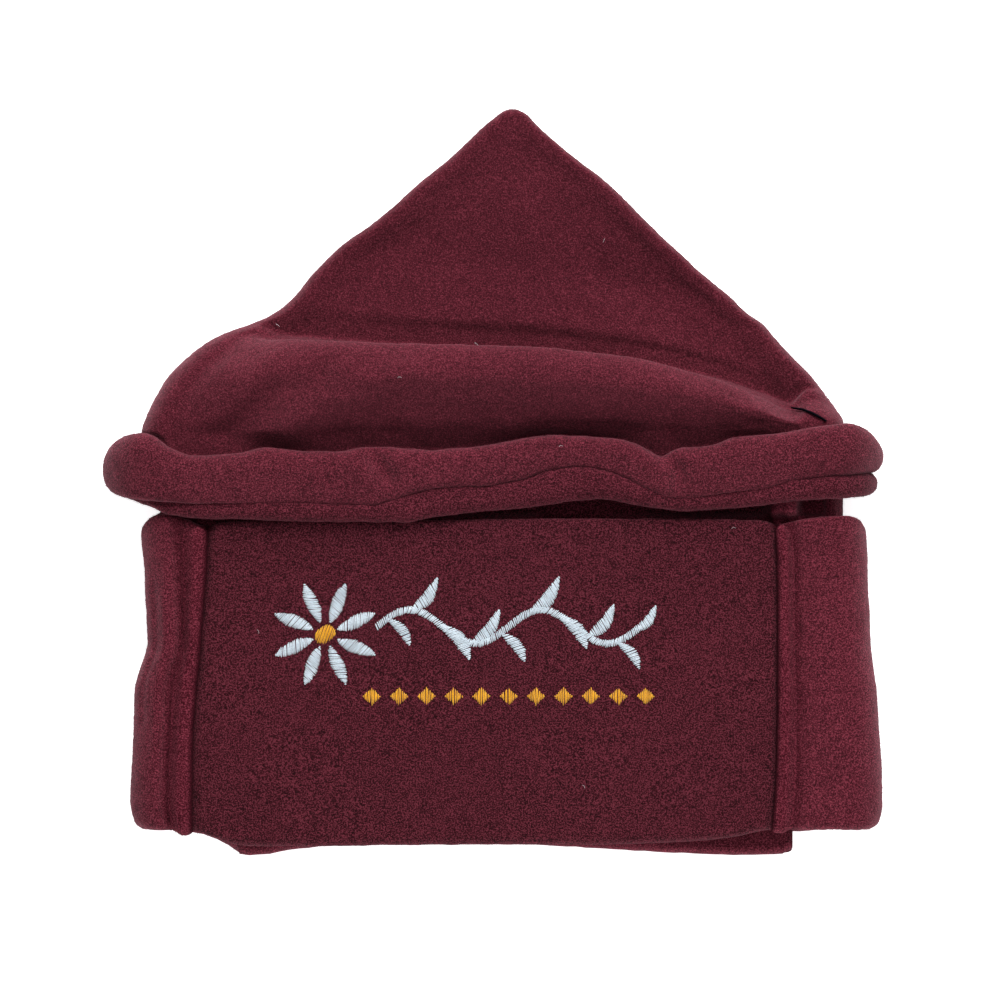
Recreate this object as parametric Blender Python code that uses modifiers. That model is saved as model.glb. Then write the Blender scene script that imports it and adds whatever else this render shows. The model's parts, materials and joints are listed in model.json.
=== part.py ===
"""Soft fleece hat, folded flat and lying on its back.

The flattened hat is described by rings: a front layer and a back layer joined by round folded sides.
Going up the hat the rings are the turned-up cuff round the inner band, the rolled rim, and the crown
drawn up into a triangle whose front layer slouches forward over the rim.

Metres, +X to the hat's right as it is seen, +Y from the mouth to the crown's tip, +Z away from the
table. The origin is on the underside, at the middle of the cuff.
"""

from collections import namedtuple
from math import pi

import bmesh
import bpy
import numpy as np

MM = 0.001

# Cloth
WALL = 2.6 * MM
CLEAR = 0.3 * MM
LAYER_GAP = 2.0 * MM

# Cuff and the band inside it
CUFF_HEIGHT = 125.0 * MM
CUFF_WIDTH = 292.0 * MM
CUFF_THICKNESS = 24.0 * MM
HEM_DROP = 10.5 * MM
SEAM_LEAN = 4.6 * MM

# Rolled rim
RIM_WIDTH = 269.6 * MM
RIM_THICKNESS = 16.0 * MM
RIM_SHIFT = -4.0 * MM
ROLL_FRONT_DEPTH = 10.5 * MM
ROLL_END_DEPTH = 17.4 * MM
ROLL_BACK_DEPTH = 6.0 * MM
CROWN_ROLL_HEIGHT = 20.0 * MM
BAND_ROLL_HEIGHT = 10.0 * MM
RIM_WAVE = 7.5 * MM

# Crown, above the middle of the rim's seam
CROWN_HEIGHT = 148.0 * MM
CROWN_FLAT_THICKNESS = 8.0 * MM
SLOUCH_RISE = 15.0 * MM
SLOUCH_BOW = 15.0 * MM
SLOUCH_TUCK = 6.0 * MM
VALLEY_DEPTH = 3.5 * MM
VALLEY_WIDTH = 9.0 * MM

# Raised seams on the cuff
WELT_WIDTH = 7.0 * MM
WELT_HEIGHT = 2.4 * MM
WELT_PRESSED = 1.2 * MM

# Steps of the surfaces
FRONT_STEPS = 26
END_STEPS = 6
BACK_STEPS = 10
ROLL_SIDES = 10
FOLD_STEPS = 6
PANEL_STEP = 17.0 * MM
PANEL_FEWEST_STEPS = 4
SEAM_STRIP = 3.0 * MM
SEAM_STRIPS_FREE = 1.5
WELT_SIDES = 8
WELT_END = 0.6
WELT_STARTS_FACING = 0.5
LEAST_SLOPE = 0.001
INWARD = -1
BOTH_WAYS = 0

CLOTH_COLOUR = (0.103, 0.014, 0.026)
CLOTH_ROUGHNESS = 0.95

# Where the seams lie on a ring, as turns: see ring_point
SEAM_TURNS = {"front_left": -0.92, "front_right": 0.84, "back_right": 2.14, "back_left": -2.19}

CuffRow = namedtuple("CuffRow", "height left right rim")
# height: share of CUFF_HEIGHT above the lowest fold. left, right: shares of half of CUFF_WIDTH.
# rim: how far the ring has changed into the rim's own, the cuff's outside only in its depth.
CUFF_ROWS = (
    CuffRow(0.00, 0.960, 0.968, 0.0),
    CuffRow(0.13, 0.999, 1.002, 0.0),
    CuffRow(0.36, 0.991, 0.991, 0.0),
    CuffRow(0.49, 0.987, 0.983, 0.0),
    CuffRow(0.58, 0.961, 0.974, 0.0),
    CuffRow(0.65, 0.954, 0.970, 0.0),
    CuffRow(0.86, 0.962, 0.965, 0.4),
    CuffRow(1.00, 0.971, 0.957, 1.0),
)

HemRow = namedtuple("HemRow", "turn drop lean")
# drop: how far the mouth's fold hangs below the shortest place, as a share of HEM_DROP.
# lean: how far the cloth leans round the band towards the mouth, as a share of SEAM_LEAN.
HEM_ROWS = (
    HemRow(-3.00, 0.66, 0.0),
    HemRow(-2.50, 0.75, 0.0),
    HemRow(SEAM_TURNS["back_left"], 1.00, 0.0),
    HemRow(-2.06, 0.35, 0.0),
    HemRow(-1.50, 0.05, 0.0),
    HemRow(SEAM_TURNS["front_left"], 0.00, -1.0),
    HemRow(-0.70, 0.50, -0.5),
    HemRow(-0.30, 0.56, 0.0),
    HemRow(0.30, 0.56, 0.0),
    HemRow(0.68, 0.36, -0.1),
    HemRow(SEAM_TURNS["front_right"], 0.00, -0.3),
    HemRow(1.50, 0.05, 0.0),
    HemRow(2.02, 0.30, 0.0),
    HemRow(SEAM_TURNS["back_right"], 0.86, 0.0),
    HemRow(2.50, 0.80, 0.0),
    HemRow(3.00, 0.66, 0.0),
)

RollRow = namedtuple("RollRow", "turn seam upper lower under")
# seam: height of the stitched seam between the lobes, a share of RIM_WAVE.
# upper, lower: heights of the lobes, shares of CROWN_ROLL_HEIGHT and BAND_ROLL_HEIGHT.
# under: depth of the lower lobe, a share of the upper one's.
ROLL_ROWS = (
    RollRow(-3.00, 0.05, 0.95, 0.80, 1.00),
    RollRow(-2.40, -0.30, 1.00, 0.70, 1.00),
    RollRow(-2.00, -0.55, 1.10, 0.60, 1.00),
    RollRow(-1.50, -0.62, 1.22, 0.45, 0.40),
    RollRow(-1.00, -0.68, 1.02, 0.50, 0.60),
    RollRow(-0.85, -0.88, 0.96, 0.57, 0.80),
    RollRow(-0.70, -0.96, 1.14, 0.52, 0.85),
    RollRow(-0.50, -1.00, 1.13, 0.54, 0.85),
    RollRow(-0.35, -0.84, 1.10, 0.70, 0.85),
    RollRow(-0.22, -0.19, 0.86, 1.17, 0.90),
    RollRow(-0.10, 0.05, 0.77, 1.02, 0.90),
    RollRow(0.05, 0.23, 0.84, 1.01, 0.90),
    RollRow(0.20, 0.92, 0.68, 1.28, 0.95),
    RollRow(0.30, 0.96, 0.63, 1.09, 0.95),
    RollRow(0.40, 0.39, 0.77, 0.86, 0.90),
    RollRow(0.50, -0.43, 0.81, 0.47, 0.80),
    RollRow(0.58, -0.40, 0.96, 0.56, 0.80),
    RollRow(0.75, -0.16, 1.10, 0.62, 0.80),
    RollRow(0.90, 0.33, 1.05, 0.72, 0.80),
    RollRow(1.00, 0.50, 1.08, 0.78, 0.80),
    RollRow(1.50, 0.75, 0.90, 0.86, 0.75),
    RollRow(2.00, 0.55, 0.90, 0.80, 1.00),
    RollRow(2.50, 0.25, 0.95, 0.80, 1.00),
    RollRow(3.00, 0.05, 0.95, 0.80, 1.00),
)

DepthRow = namedtuple("DepthRow", "turn depth")
# Depth of the upper lobe, alike on both sides: full in front, fattest on the folds, pressed behind.
DEPTH_ROWS = (
    DepthRow(0.0, ROLL_FRONT_DEPTH),
    DepthRow(0.9, ROLL_FRONT_DEPTH),
    DepthRow(1.5, ROLL_END_DEPTH),
    DepthRow(2.0, ROLL_BACK_DEPTH),
    DepthRow(3.0, ROLL_BACK_DEPTH),
)

EdgeRow = namedtuple("EdgeRow", "height left right")
# The crown's side folds as they are seen from the front. height: share of CROWN_HEIGHT.
# left, right: how far out the folds are, shares of half of RIM_WIDTH.
EDGE_ROWS = (
    EdgeRow(0.00, 1.009, 1.000),
    EdgeRow(0.17, 1.009, 1.000),
    EdgeRow(0.21, 0.994, 0.975),
    EdgeRow(0.29, 0.944, 0.910),
    EdgeRow(0.355, 0.873, 0.841),
    EdgeRow(0.40, 0.798, 0.799),
    EdgeRow(0.43, 0.708, 0.769),
    EdgeRow(0.455, 0.647, 0.729),
    EdgeRow(0.49, 0.597, 0.689),
    EdgeRow(0.555, 0.537, 0.604),
    EdgeRow(0.63, 0.453, 0.515),
    EdgeRow(0.70, 0.346, 0.432),
    EdgeRow(0.79, 0.236, 0.331),
    EdgeRow(0.865, 0.132, 0.237),
    EdgeRow(0.95, 0.030, 0.130),
    EdgeRow(1.00, -0.046, 0.076),
)

BehindRow = namedtuple("BehindRow", "up rise")
# Rows of the crown behind the upper lobe: shares of the lobe's height and of SLOUCH_RISE.
BEHIND_ROWS = (
    BehindRow(0.0, 0.00),
    BehindRow(0.5, 0.00),
    BehindRow(1.0, 0.12),
)

CrownRow = namedtuple("CrownRow", "left right thick back rise bow tuck")
# Rows of the crown above its rolled hem, from the hem to the tip.
# left, right: heights of the row's ends, shares of CROWN_HEIGHT.
# thick: from back to front, 0 for CROWN_FLAT_THICKNESS and 1 for RIM_THICKNESS.
# back: height of the back layer off the table, a share of its height at the rim.
# rise, bow, tuck: shares of SLOUCH_RISE, SLOUCH_BOW and SLOUCH_TUCK in the front layer.
CROWN_ROWS = (
    CrownRow(0.170, 0.160, 1.15, 0.78, 0.40, 0.20, 0.00),
    CrownRow(0.205, 0.170, 1.32, 0.55, 0.72, 0.36, 0.00),
    CrownRow(0.255, 0.181, 1.45, 0.32, 0.98, 0.56, 0.00),
    CrownRow(0.310, 0.192, 1.42, 0.16, 1.14, 0.80, 0.00),
    CrownRow(0.360, 0.203, 1.25, 0.06, 1.20, 1.00, 0.00),
    CrownRow(0.388, 0.214, 1.02, 0.02, 1.14, 1.16, 0.00),
    CrownRow(0.402, 0.225, 0.82, 0.00, 0.92, 1.24, 0.10),
    CrownRow(0.412, 0.236, 0.64, 0.00, 0.62, 1.18, 0.50),
    CrownRow(0.421, 0.247, 0.48, 0.00, 0.33, 1.08, 0.80),
    CrownRow(0.432, 0.259, 0.35, 0.00, 0.16, 1.02, 0.65),
    CrownRow(0.450, 0.275, 0.24, 0.00, 0.07, 0.90, 0.00),
    CrownRow(0.484, 0.315, 0.14, 0.00, 0.02, 0.68, 0.00),
    CrownRow(0.550, 0.400, 0.06, 0.00, 0.00, 0.36, 0.00),
    CrownRow(0.650, 0.530, 0.00, 0.00, 0.00, 0.15, 0.00),
    CrownRow(0.760, 0.670, -0.02, 0.00, 0.00, 0.04, 0.00),
    CrownRow(0.860, 0.800, -0.04, 0.00, 0.00, 0.00, 0.00),
    CrownRow(0.940, 0.910, -0.06, 0.00, 0.00, 0.00, 0.00),
    CrownRow(0.978, 0.972, -0.12, 0.00, 0.00, 0.00, 0.00),
)

SlouchRow = namedtuple("SlouchRow", "turn rise bow")
# How the slouch fades across the front layer, from its left fold to its right one.
SLOUCH_ROWS = (
    SlouchRow(-1.00, 0.00, 0.00),
    SlouchRow(-0.90, 0.40, 0.05),
    SlouchRow(-0.70, 0.80, 0.20),
    SlouchRow(-0.40, 0.97, 0.50),
    SlouchRow(0.00, 1.00, 0.82),
    SlouchRow(0.35, 0.92, 0.92),
    SlouchRow(0.60, 0.72, 0.66),
    SlouchRow(0.80, 0.45, 0.20),
    SlouchRow(0.93, 0.17, -0.12),
    SlouchRow(1.00, 0.00, 0.00),
)

ValleyRow = namedtuple("ValleyRow", "low_side low_height top_side top_height depth")
# Soft valleys, and ridges where depth is below 0, across the front layer from a low to a top point.
# Sides are shares of half of RIM_WIDTH, heights of CROWN_HEIGHT, depth of VALLEY_DEPTH.
VALLEY_ROWS = (
    ValleyRow(-0.80, 0.08, -0.65, 0.36, 1.0),
    ValleyRow(-0.62, 0.20, -0.40, 0.33, -0.35),
    ValleyRow(0.34, 0.12, 0.50, 0.27, 0.45),
)


def column(rows, name):
    return np.array([getattr(row, name) for row in rows])


def read(rows, key, name, at):
    """A column of a table read at any value of its key, on a smooth curve that never overshoots."""
    x = column(rows, key)
    y = column(rows, name)
    step = np.diff(x)
    slope = np.diff(y) / step
    inner = np.where(slope[:-1] * slope[1:] > 0, 1.0, 0.0)
    weight = (step[:-1] + step[1:]) / 2
    mean = weight * 2 * slope[:-1] * slope[1:]
    tangent = np.zeros(len(x))
    tangent[1:-1] = inner * mean / (
        np.where(inner > 0, slope[:-1] * step[:-1] + slope[1:] * step[1:], 1.0)
    )
    at = np.clip(at, x[0], x[-1])
    i = np.clip(np.searchsorted(x, at, side="right") - 1, 0, len(x) - 2)
    t = (at - x[i]) / step[i]
    start = (1 + 2 * t) * (1 - t) ** 2 * y[i] + t * (1 - t) ** 2 * step[i] * tangent[i]
    end = t * t * (3 - 2 * t) * y[i + 1] - t * t * (1 - t) * step[i] * tangent[i + 1]
    return start + end


def ring_point(turn, half_width, half_depth):
    """Points on a flattened ring and their outward directions, as x, z, out_x, out_z.

    turn runs from -3 to 3: -1 to 1 is the front from left to right, 1 to 2 the right fold, 2 to 3
    and -3 to -2 the back, -2 to -1 the left fold. The folds are half circles.
    """
    side = np.sign(turn)
    size = np.abs(turn)
    angle = pi / 2 - pi * np.clip(size - 1, 0, 1)
    run = np.clip(size, 0, 1) - np.clip(size - 2, 0, 1)
    out_x = side * np.cos(angle)
    out_z = np.sin(angle)
    x = side * run * (half_width - half_depth) + half_depth * out_x
    return x, half_depth * out_z, out_x, out_z


def whole_ring():
    """Turns all round a ring, from the middle of the back: few on its runs, more on its folds."""
    back = np.linspace(2, 3, BACK_STEPS // 2 + 1)
    fold = np.linspace(1, 2, END_STEPS + 1)[:-1]
    half = np.concatenate([fold, back])
    front = np.linspace(-1, 1, FRONT_STEPS + 1)[1:-1]
    return np.concatenate([-half[::-1], front, half])


RING = whole_ring()
HALF_RUN = (CUFF_WIDTH - CUFF_THICKNESS) / 2
CUFF_TOP = CUFF_HEIGHT / 2
HEM_TOP = -CUFF_HEIGHT / 2 + HEM_DROP * float(read(HEM_ROWS, "turn", "drop", 0.0))
BAND_INSET = WALL + LAYER_GAP
FOLD_RADIUS = BAND_INSET / 2
RIM_BACK = ROLL_BACK_DEPTH + CLEAR


def roll(turn, name):
    return read(ROLL_ROWS, "turn", name, turn)


def rim_middle():
    """Height of the rim's seam where it has no wave: the lower lobe just clears the cuff's edge."""
    hang = BAND_ROLL_HEIGHT * roll(RING, "lower") - RIM_WAVE * roll(RING, "seam")
    return CUFF_TOP + CLEAR + hang.max()


RIM_Y = rim_middle()


def seam_height(turn):
    """Height of the rim's seam, straight between the ring's steps so that all pieces share it."""
    return np.interp(turn, RING, RIM_Y + RIM_WAVE * roll(RING, "seam"))


def roll_depth(turn):
    """Depth of the upper lobe, never so deep that it would pass below the table."""
    size = np.abs(turn)
    down = np.maximum(-np.sin(pi / 2 - pi * np.clip(size - 1, 0, 1)), LEAST_SLOPE)
    to_table = (RIM_BACK + RIM_THICKNESS / 2) / down - RIM_THICKNESS / 2 - CLEAR
    return np.minimum(read(DEPTH_ROWS, "turn", "depth", size), to_table)


def press_in(turn):
    """How far the back is pushed in along its two welts, so that they lie flush with the table."""
    near = 0.0
    for name in ("back_left", "back_right"):
        away = (turn - SEAM_TURNS[name]) * HALF_RUN
        near = near + np.exp(-((away / WELT_WIDTH) ** 4))
    return (WELT_PRESSED + CLEAR) * near


def band_point(turn, y, inset):
    """Points at a depth under the cuff's outer surface, which carries on up round the rim's seam."""
    share = (y + CUFF_HEIGHT / 2) / CUFF_HEIGHT
    rim = read(CUFF_ROWS, "height", "rim", share)
    inside = np.clip((inset - WALL) / LAYER_GAP, 0, 1)
    tube = rim * inside
    left = -CUFF_WIDTH / 2 * read(CUFF_ROWS, "height", "left", share)
    right = CUFF_WIDTH / 2 * read(CUFF_ROWS, "height", "right", share)
    left = left + tube * (RIM_SHIFT - RIM_WIDTH / 2 - BAND_INSET - left)
    right = right + tube * (RIM_SHIFT + RIM_WIDTH / 2 + BAND_INSET - right)
    half_width = (right - left) / 2
    half_depth = CUFF_THICKNESS / 2 + rim * (RIM_THICKNESS / 2 + BAND_INSET - CUFF_THICKNESS / 2)
    lean = SEAM_LEAN * read(HEM_ROWS, "turn", "lean", turn) / (half_width - half_depth)
    turn = turn + lean * np.clip(1 - share, 0, 1)
    x, z, out_x, out_z = ring_point(turn, half_width, half_depth)
    inward = inset + (1 - rim) * press_in(turn)
    z = z + half_depth + rim * (RIM_BACK - BAND_INSET)
    return np.stack([x + (left + right) / 2 - inward * out_x, y, z - inward * out_z], -1)


def cage_faces(rows, columns, around, over):
    """Four-sided faces of a grid of points, which may join up along its rows and over its columns."""
    j, i = np.meshgrid(np.arange(rows - (not over)), np.arange(columns - (not around)), indexing="ij")
    after = (i + 1) % columns
    above = (j + 1) % rows
    corners = (j * columns + i, j * columns + after, above * columns + after, above * columns + i)
    return np.stack(corners, -1).reshape(-1, 4)


def cloth_material(name, colour, roughness):
    material = bpy.data.materials.new(name)
    material.use_nodes = True
    shader = material.node_tree.nodes["Principled BSDF"]
    shader.inputs["Base Color"].default_value = (*colour, 1.0)
    shader.inputs["Roughness"].default_value = roughness
    shader.inputs["Metallic"].default_value = 0.0
    return material


def add_piece(name, points, around=True, over=False, ends=None):
    """A named object from a grid of points; ends gives rows that are closed, each round a point."""
    rows, columns = points.shape[:2]
    faces = [tuple(int(v) for v in face) for face in cage_faces(rows, columns, around, over)]
    corners = [tuple(p) for p in points.reshape(-1, 3)]
    for row, middle in (ends or {}).items():
        start = row * columns
        faces.extend((start + i, start + (i + 1) % columns, len(corners)) for i in range(columns))
        corners.append(tuple(middle))
    mesh = bpy.data.meshes.new(name)
    mesh.from_pydata(corners, [], faces)
    shape = bmesh.new()
    shape.from_mesh(mesh)
    bmesh.ops.recalc_face_normals(shape, faces=shape.faces)
    shape.to_mesh(mesh)
    shape.free()
    mesh.materials.append(cloth_material(name + "_fleece", CLOTH_COLOUR, CLOTH_ROUGHNESS))
    mesh.shade_smooth()
    piece = bpy.data.objects.new(name, mesh)
    hat.objects.link(piece)
    piece.parent = frame
    return piece


def add_wall(piece, offset):
    """Gives an open surface the cloth's thickness, on one side of it or on both."""
    wall = piece.modifiers.new("cloth", "SOLIDIFY")
    wall.thickness = WALL
    wall.offset = offset
    wall.use_quality_normals = True


def panel_turns(first, last):
    """The ring's steps between two seams, with a narrow strip along each seam."""
    trim = CLEAR / 2 / HALF_RUN
    strip = SEAM_STRIP / HALF_RUN
    first, last = first + trim, last - trim
    after = RING > first + SEAM_STRIPS_FREE * strip
    before = RING < last - SEAM_STRIPS_FREE * strip
    if first < last:
        inner = RING[after & before]
    else:
        inner = np.concatenate([RING[after], RING[1:][before[1:]]])
    return np.concatenate([[first, first + strip], inner, [last - strip, last]])


def band_path(turns):
    """The middle of the band's cloth, down inside, round the mouth's fold and up the cuff.

    Each step is a height and a depth under the cuff's surface, then the cloth's outward direction
    as a height and a depth.
    """
    bend = HEM_TOP - HEM_DROP * read(HEM_ROWS, "turn", "drop", turns) + WALL / 2 + FOLD_RADIUS
    top = seam_height(turns) - CLEAR / 2
    steps = max(PANEL_FEWEST_STEPS, round((RIM_Y - HEM_TOP) / PANEL_STEP))
    path = []
    for share in np.linspace(0, 1, steps, endpoint=False):
        path.append((top + (bend - top) * share, WALL / 2 + 2 * FOLD_RADIUS, 0.0, 1.0))
    for angle in np.linspace(0, pi, FOLD_STEPS + 1):
        inset = WALL / 2 + FOLD_RADIUS * (1 + np.cos(angle))
        path.append((bend - FOLD_RADIUS * np.sin(angle), inset, -np.sin(angle), np.cos(angle)))
    for share in np.linspace(0, 1, steps)[1:]:
        path.append((bend + (CUFF_TOP - bend) * share, WALL / 2, 0.0, -1.0))
    return path


def add_panel(name, first, last):
    """A strip of the band between two seams."""
    turns = panel_turns(first, last)
    rows = [band_point(turns, y, inset) for y, inset, _, _ in band_path(turns)]
    piece = add_piece(name, np.stack(rows), around=False)
    add_wall(piece, BOTH_WAYS)


def add_welt(name, tall):
    """A raised seam: a flattened bead along the cuff's outside, from under the fold to the edge."""
    turn = SEAM_TURNS[name]
    angles = np.linspace(0, 2 * pi, WELT_SIDES, endpoint=False)
    outside = [step for step in band_path(np.full(WELT_SIDES, turn)) if step[3] < WELT_STARTS_FACING]
    rows = []
    for i, (y, inset, out_y, out_inset) in enumerate(outside):
        slim = WELT_END if i in (0, len(outside) - 1) else 1.0
        turns = turn + slim * WELT_WIDTH / 2 * np.cos(angles) / HALF_RUN
        out = WALL / 2 + CLEAR + tall / 2 * (1 + slim * np.sin(angles))
        flush = float(press_in(turn)) - press_in(turns)
        rows.append(band_point(turns, y + out * out_y, inset + out * out_inset + flush))
    middles = {row: rows[row].mean(axis=0) for row in (0, len(rows) - 1)}
    add_piece(name + "_welt", np.stack(rows), ends=middles)


def add_roll(name, upper):
    """A lobe of the rim: an oval section carried round the seam, standing off the hat's side."""
    turn = RING[:-1]
    deep = roll_depth(turn)
    if upper:
        low = seam_height(turn) + CLEAR / 2
        tall = CROWN_ROLL_HEIGHT * roll(turn, "upper")
    else:
        tall = BAND_ROLL_HEIGHT * roll(turn, "lower")
        low = seam_height(turn) - CLEAR / 2 - tall
        deep = deep * roll(turn, "under")
    x, z, out_x, out_z = ring_point(turn, RIM_WIDTH / 2, RIM_THICKNESS / 2)
    z = z + RIM_BACK + RIM_THICKNESS / 2
    rows = []
    for angle in np.linspace(0, 2 * pi, ROLL_SIDES, endpoint=False):
        out = CLEAR + deep / 2 * (1 - np.cos(angle))
        y = low + tall / 2 * (1 + np.sin(angle))
        rows.append(np.stack([x + RIM_SHIFT + out * out_x, y, z + out * out_z], -1))
    add_piece(name, np.stack(rows), over=True)


def crown_place(side, height):
    """A point on the front of the crown: a share of half of RIM_WIDTH and of CROWN_HEIGHT."""
    return np.array([RIM_SHIFT + RIM_WIDTH / 2 * side, RIM_Y + CROWN_HEIGHT * height])


def valley_depth(x, y):
    """How deep the soft valleys lie below a point, fading to both sides and at their ends."""
    depth = 0.0
    for row in VALLEY_ROWS:
        low = crown_place(row.low_side, row.low_height)
        run = crown_place(row.top_side, row.top_height) - low
        share = np.clip(((x - low[0]) * run[0] + (y - low[1]) * run[1]) / (run @ run), 0, 1)
        away = np.hypot(x - low[0] - share * run[0], y - low[1] - share * run[1])
        depth = depth + VALLEY_DEPTH * row.depth * np.exp(-((away / VALLEY_WIDTH) ** 2))
    return depth


def crown_row(row, turn, puff, swing):
    """One ring of the crown, level with its two side folds; puff and swing are the slouch's shares."""
    left = crown_place(-read(EDGE_ROWS, "height", "left", row.left), row.left)
    right = crown_place(read(EDGE_ROWS, "height", "right", row.right), row.right)
    middle = (left + right) / 2
    width = np.linalg.norm(right - left)
    along = (right - left) / width
    thick = CROWN_FLAT_THICKNESS + row.thick * (RIM_THICKNESS - CROWN_FLAT_THICKNESS)
    x, z, _, _ = ring_point(turn, width / 2, thick / 2)
    y = middle[1] + along[1] * x + SLOUCH_BOW * row.bow * swing - SLOUCH_TUCK * row.tuck * puff
    x = middle[0] + along[0] * x
    z = z + thick / 2 + RIM_BACK * row.back + SLOUCH_RISE * row.rise * puff
    return np.stack([x, y, z - min(row.rise, 1) * puff * valley_depth(x, y)], -1)


def add_crown():
    """The hollow crown: its hem behind the roll, the slouch and its tuck, then the flat triangle."""
    turn = RING[:-1]
    front = np.abs(turn) < 1
    puff = read(SLOUCH_ROWS, "turn", "rise", turn) * front
    swing = read(SLOUCH_ROWS, "turn", "bow", turn) * front
    x, z, _, _ = ring_point(turn, RIM_WIDTH / 2, RIM_THICKNESS / 2)
    z = z + RIM_BACK + RIM_THICKNESS / 2
    rows = []
    for row in BEHIND_ROWS:
        y = seam_height(turn) + CLEAR / 2 + row.up * CROWN_ROLL_HEIGHT * roll(turn, "upper")
        rows.append(np.stack([x + RIM_SHIFT, y, z + SLOUCH_RISE * row.rise * puff], -1))
    rows.extend(crown_row(row, turn, puff, swing) for row in CROWN_ROWS)
    tip = rows[-1].mean(axis=0)
    tip[1] = RIM_Y + CROWN_HEIGHT
    crown = add_piece("crown", np.stack(rows), ends={len(rows) - 1: tip})
    add_wall(crown, INWARD)


for old in list(bpy.data.objects):
    bpy.data.objects.remove(old, do_unlink=True)

hat = bpy.data.collections.new("folded_fleece_hat")
bpy.context.scene.collection.children.link(hat)
frame = bpy.data.objects.new("hat_frame", None)
hat.objects.link(frame)

add_crown()
add_roll("crown_roll", upper=True)
add_roll("band_roll", upper=False)
add_panel("front_panel", SEAM_TURNS["front_left"], SEAM_TURNS["front_right"])
add_panel("right_side_panel", SEAM_TURNS["front_right"], SEAM_TURNS["back_right"])
add_panel("back_panel", SEAM_TURNS["back_right"], SEAM_TURNS["back_left"])
add_panel("left_side_panel", SEAM_TURNS["back_left"], SEAM_TURNS["front_left"])
for seam_name in SEAM_TURNS:
    add_welt(seam_name, WELT_HEIGHT if seam_name.startswith("front") else WELT_PRESSED)
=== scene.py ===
"""Looks of the folded fleece hat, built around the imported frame.

Every piece is a numpy surface in the frame's own metres: +X right across the front, +Y from the mouth
to the crown's tip, +Z up from the table. A ring round the flattened hat is followed by a turn from -3
to 3: -1 to 1 is the front from left to right, 1 to 2 the right fold, 2 to 3 and -3 to -2 the back,
-2 to -1 the left fold.
"""

import json
from collections import namedtuple
from math import pi

import bpy
import numpy as np
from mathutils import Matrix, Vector

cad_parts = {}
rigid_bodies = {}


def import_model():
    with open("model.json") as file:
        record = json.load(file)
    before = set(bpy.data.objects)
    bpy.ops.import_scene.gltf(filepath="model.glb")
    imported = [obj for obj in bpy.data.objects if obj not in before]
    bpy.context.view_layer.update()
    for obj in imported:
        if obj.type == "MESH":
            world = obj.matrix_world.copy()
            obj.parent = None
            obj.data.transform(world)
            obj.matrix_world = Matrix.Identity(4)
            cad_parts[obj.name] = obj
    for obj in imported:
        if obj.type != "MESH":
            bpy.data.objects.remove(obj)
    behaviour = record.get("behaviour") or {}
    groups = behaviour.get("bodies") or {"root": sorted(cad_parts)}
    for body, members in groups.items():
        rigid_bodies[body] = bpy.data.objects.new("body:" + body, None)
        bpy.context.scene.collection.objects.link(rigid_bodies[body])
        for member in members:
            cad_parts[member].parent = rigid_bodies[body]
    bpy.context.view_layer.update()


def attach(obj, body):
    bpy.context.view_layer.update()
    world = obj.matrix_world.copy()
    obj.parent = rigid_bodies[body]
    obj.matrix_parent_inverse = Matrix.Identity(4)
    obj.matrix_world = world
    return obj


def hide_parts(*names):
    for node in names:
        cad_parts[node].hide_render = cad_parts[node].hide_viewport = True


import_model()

MM = 0.001
BODY = "root"

# Cloth
WALL = 2.6 * MM
CLEAR = 0.3 * MM
TOUCH = 0.05 * MM
LAYER_GAP = 2.0 * MM

# Cuff and the band inside it
CUFF_HEIGHT = 125.0 * MM
CUFF_WIDTH = 292.0 * MM
CUFF_THICKNESS = 24.0 * MM
HEM_DROP = 10.5 * MM
LIP_HEIGHT = 3.5 * MM

# Rolled rim
RIM_WIDTH = 269.6 * MM
RIM_THICKNESS = 16.0 * MM
RIM_SHIFT = -4.0 * MM
RIM_RISE = 13.6 * MM
ROLL_FRONT_DEPTH = 10.5 * MM
ROLL_END_DEPTH = 17.4 * MM
ROLL_BACK_DEPTH = 6.0 * MM
CROWN_ROLL_HEIGHT = 20.0 * MM
BAND_ROLL_HEIGHT = 10.0 * MM
RIM_WAVE = 7.5 * MM
LOBE_OVERLAP = 1.3 * MM
# The rim's right end is this much thinner, at this turn and this far round it
RIGHT_END_SLIM = 0.105
RIGHT_END_TURN = 1.45
RIGHT_END_SPREAD = 0.35
NECK_RIPPLE = 3.0 * MM
NECK_START = 1.0 * MM
NECK_FULL = 4.0 * MM

# Crown, above the middle of the rim's seam
CROWN_HEIGHT = 148.0 * MM
CROWN_FLAT_THICKNESS = 8.0 * MM
# The flat triangle is a little darker than the slouch, as the photo shows it, fading in over these steps.
FLAT_DARKER = 0.28
FLAT_DARKER_STEPS = (10.5, 14.0)
SLOUCH_RISE = 15.0 * MM
SLOUCH_BOW = 7.8 * MM
SLOUCH_TUCK = 6.0 * MM
EDGE_PUFF = 1.3 * MM
EDGE_PUFF_PLACE = 6.0 * MM
EDGE_DIP = 0.4 * MM
EDGE_DIP_PLACE = 19.0 * MM
# A row narrower than this has a weaker edge
EDGE_FULL_WIDTH = 5 * EDGE_DIP_PLACE
TIP_ROUND = 3.4 * MM
TIP_WIDTHS = (0.95, 0.88, 0.79, 0.68, 0.55, 0.4, 0.22, 0.1)
HEM_TO_CROWN = 1.5 * MM
HEM_BRIDGE = 6.0 * MM
INNER_ROWS = 30
STEP_PROBES = 1200
# The slouch's lines show in full from this share of its rise on
LINES_FULL = 0.15

# Soft lines pressed into the cloth or standing up from it
LINE_RISE = 1.0 * MM
LINE_WIDTH = 6.0 * MM

# Raised seams
WELT_WIDTH = 9.4 * MM
WELT_PRESSED = 1.2 * MM
WELT_END_ROWS = 6
WELT_OVERHANG = 1.73 * MM
WELT_BELOW_LIP = 0.4 * MM
BACK_WELT_OFFSET = 0.036
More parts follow.
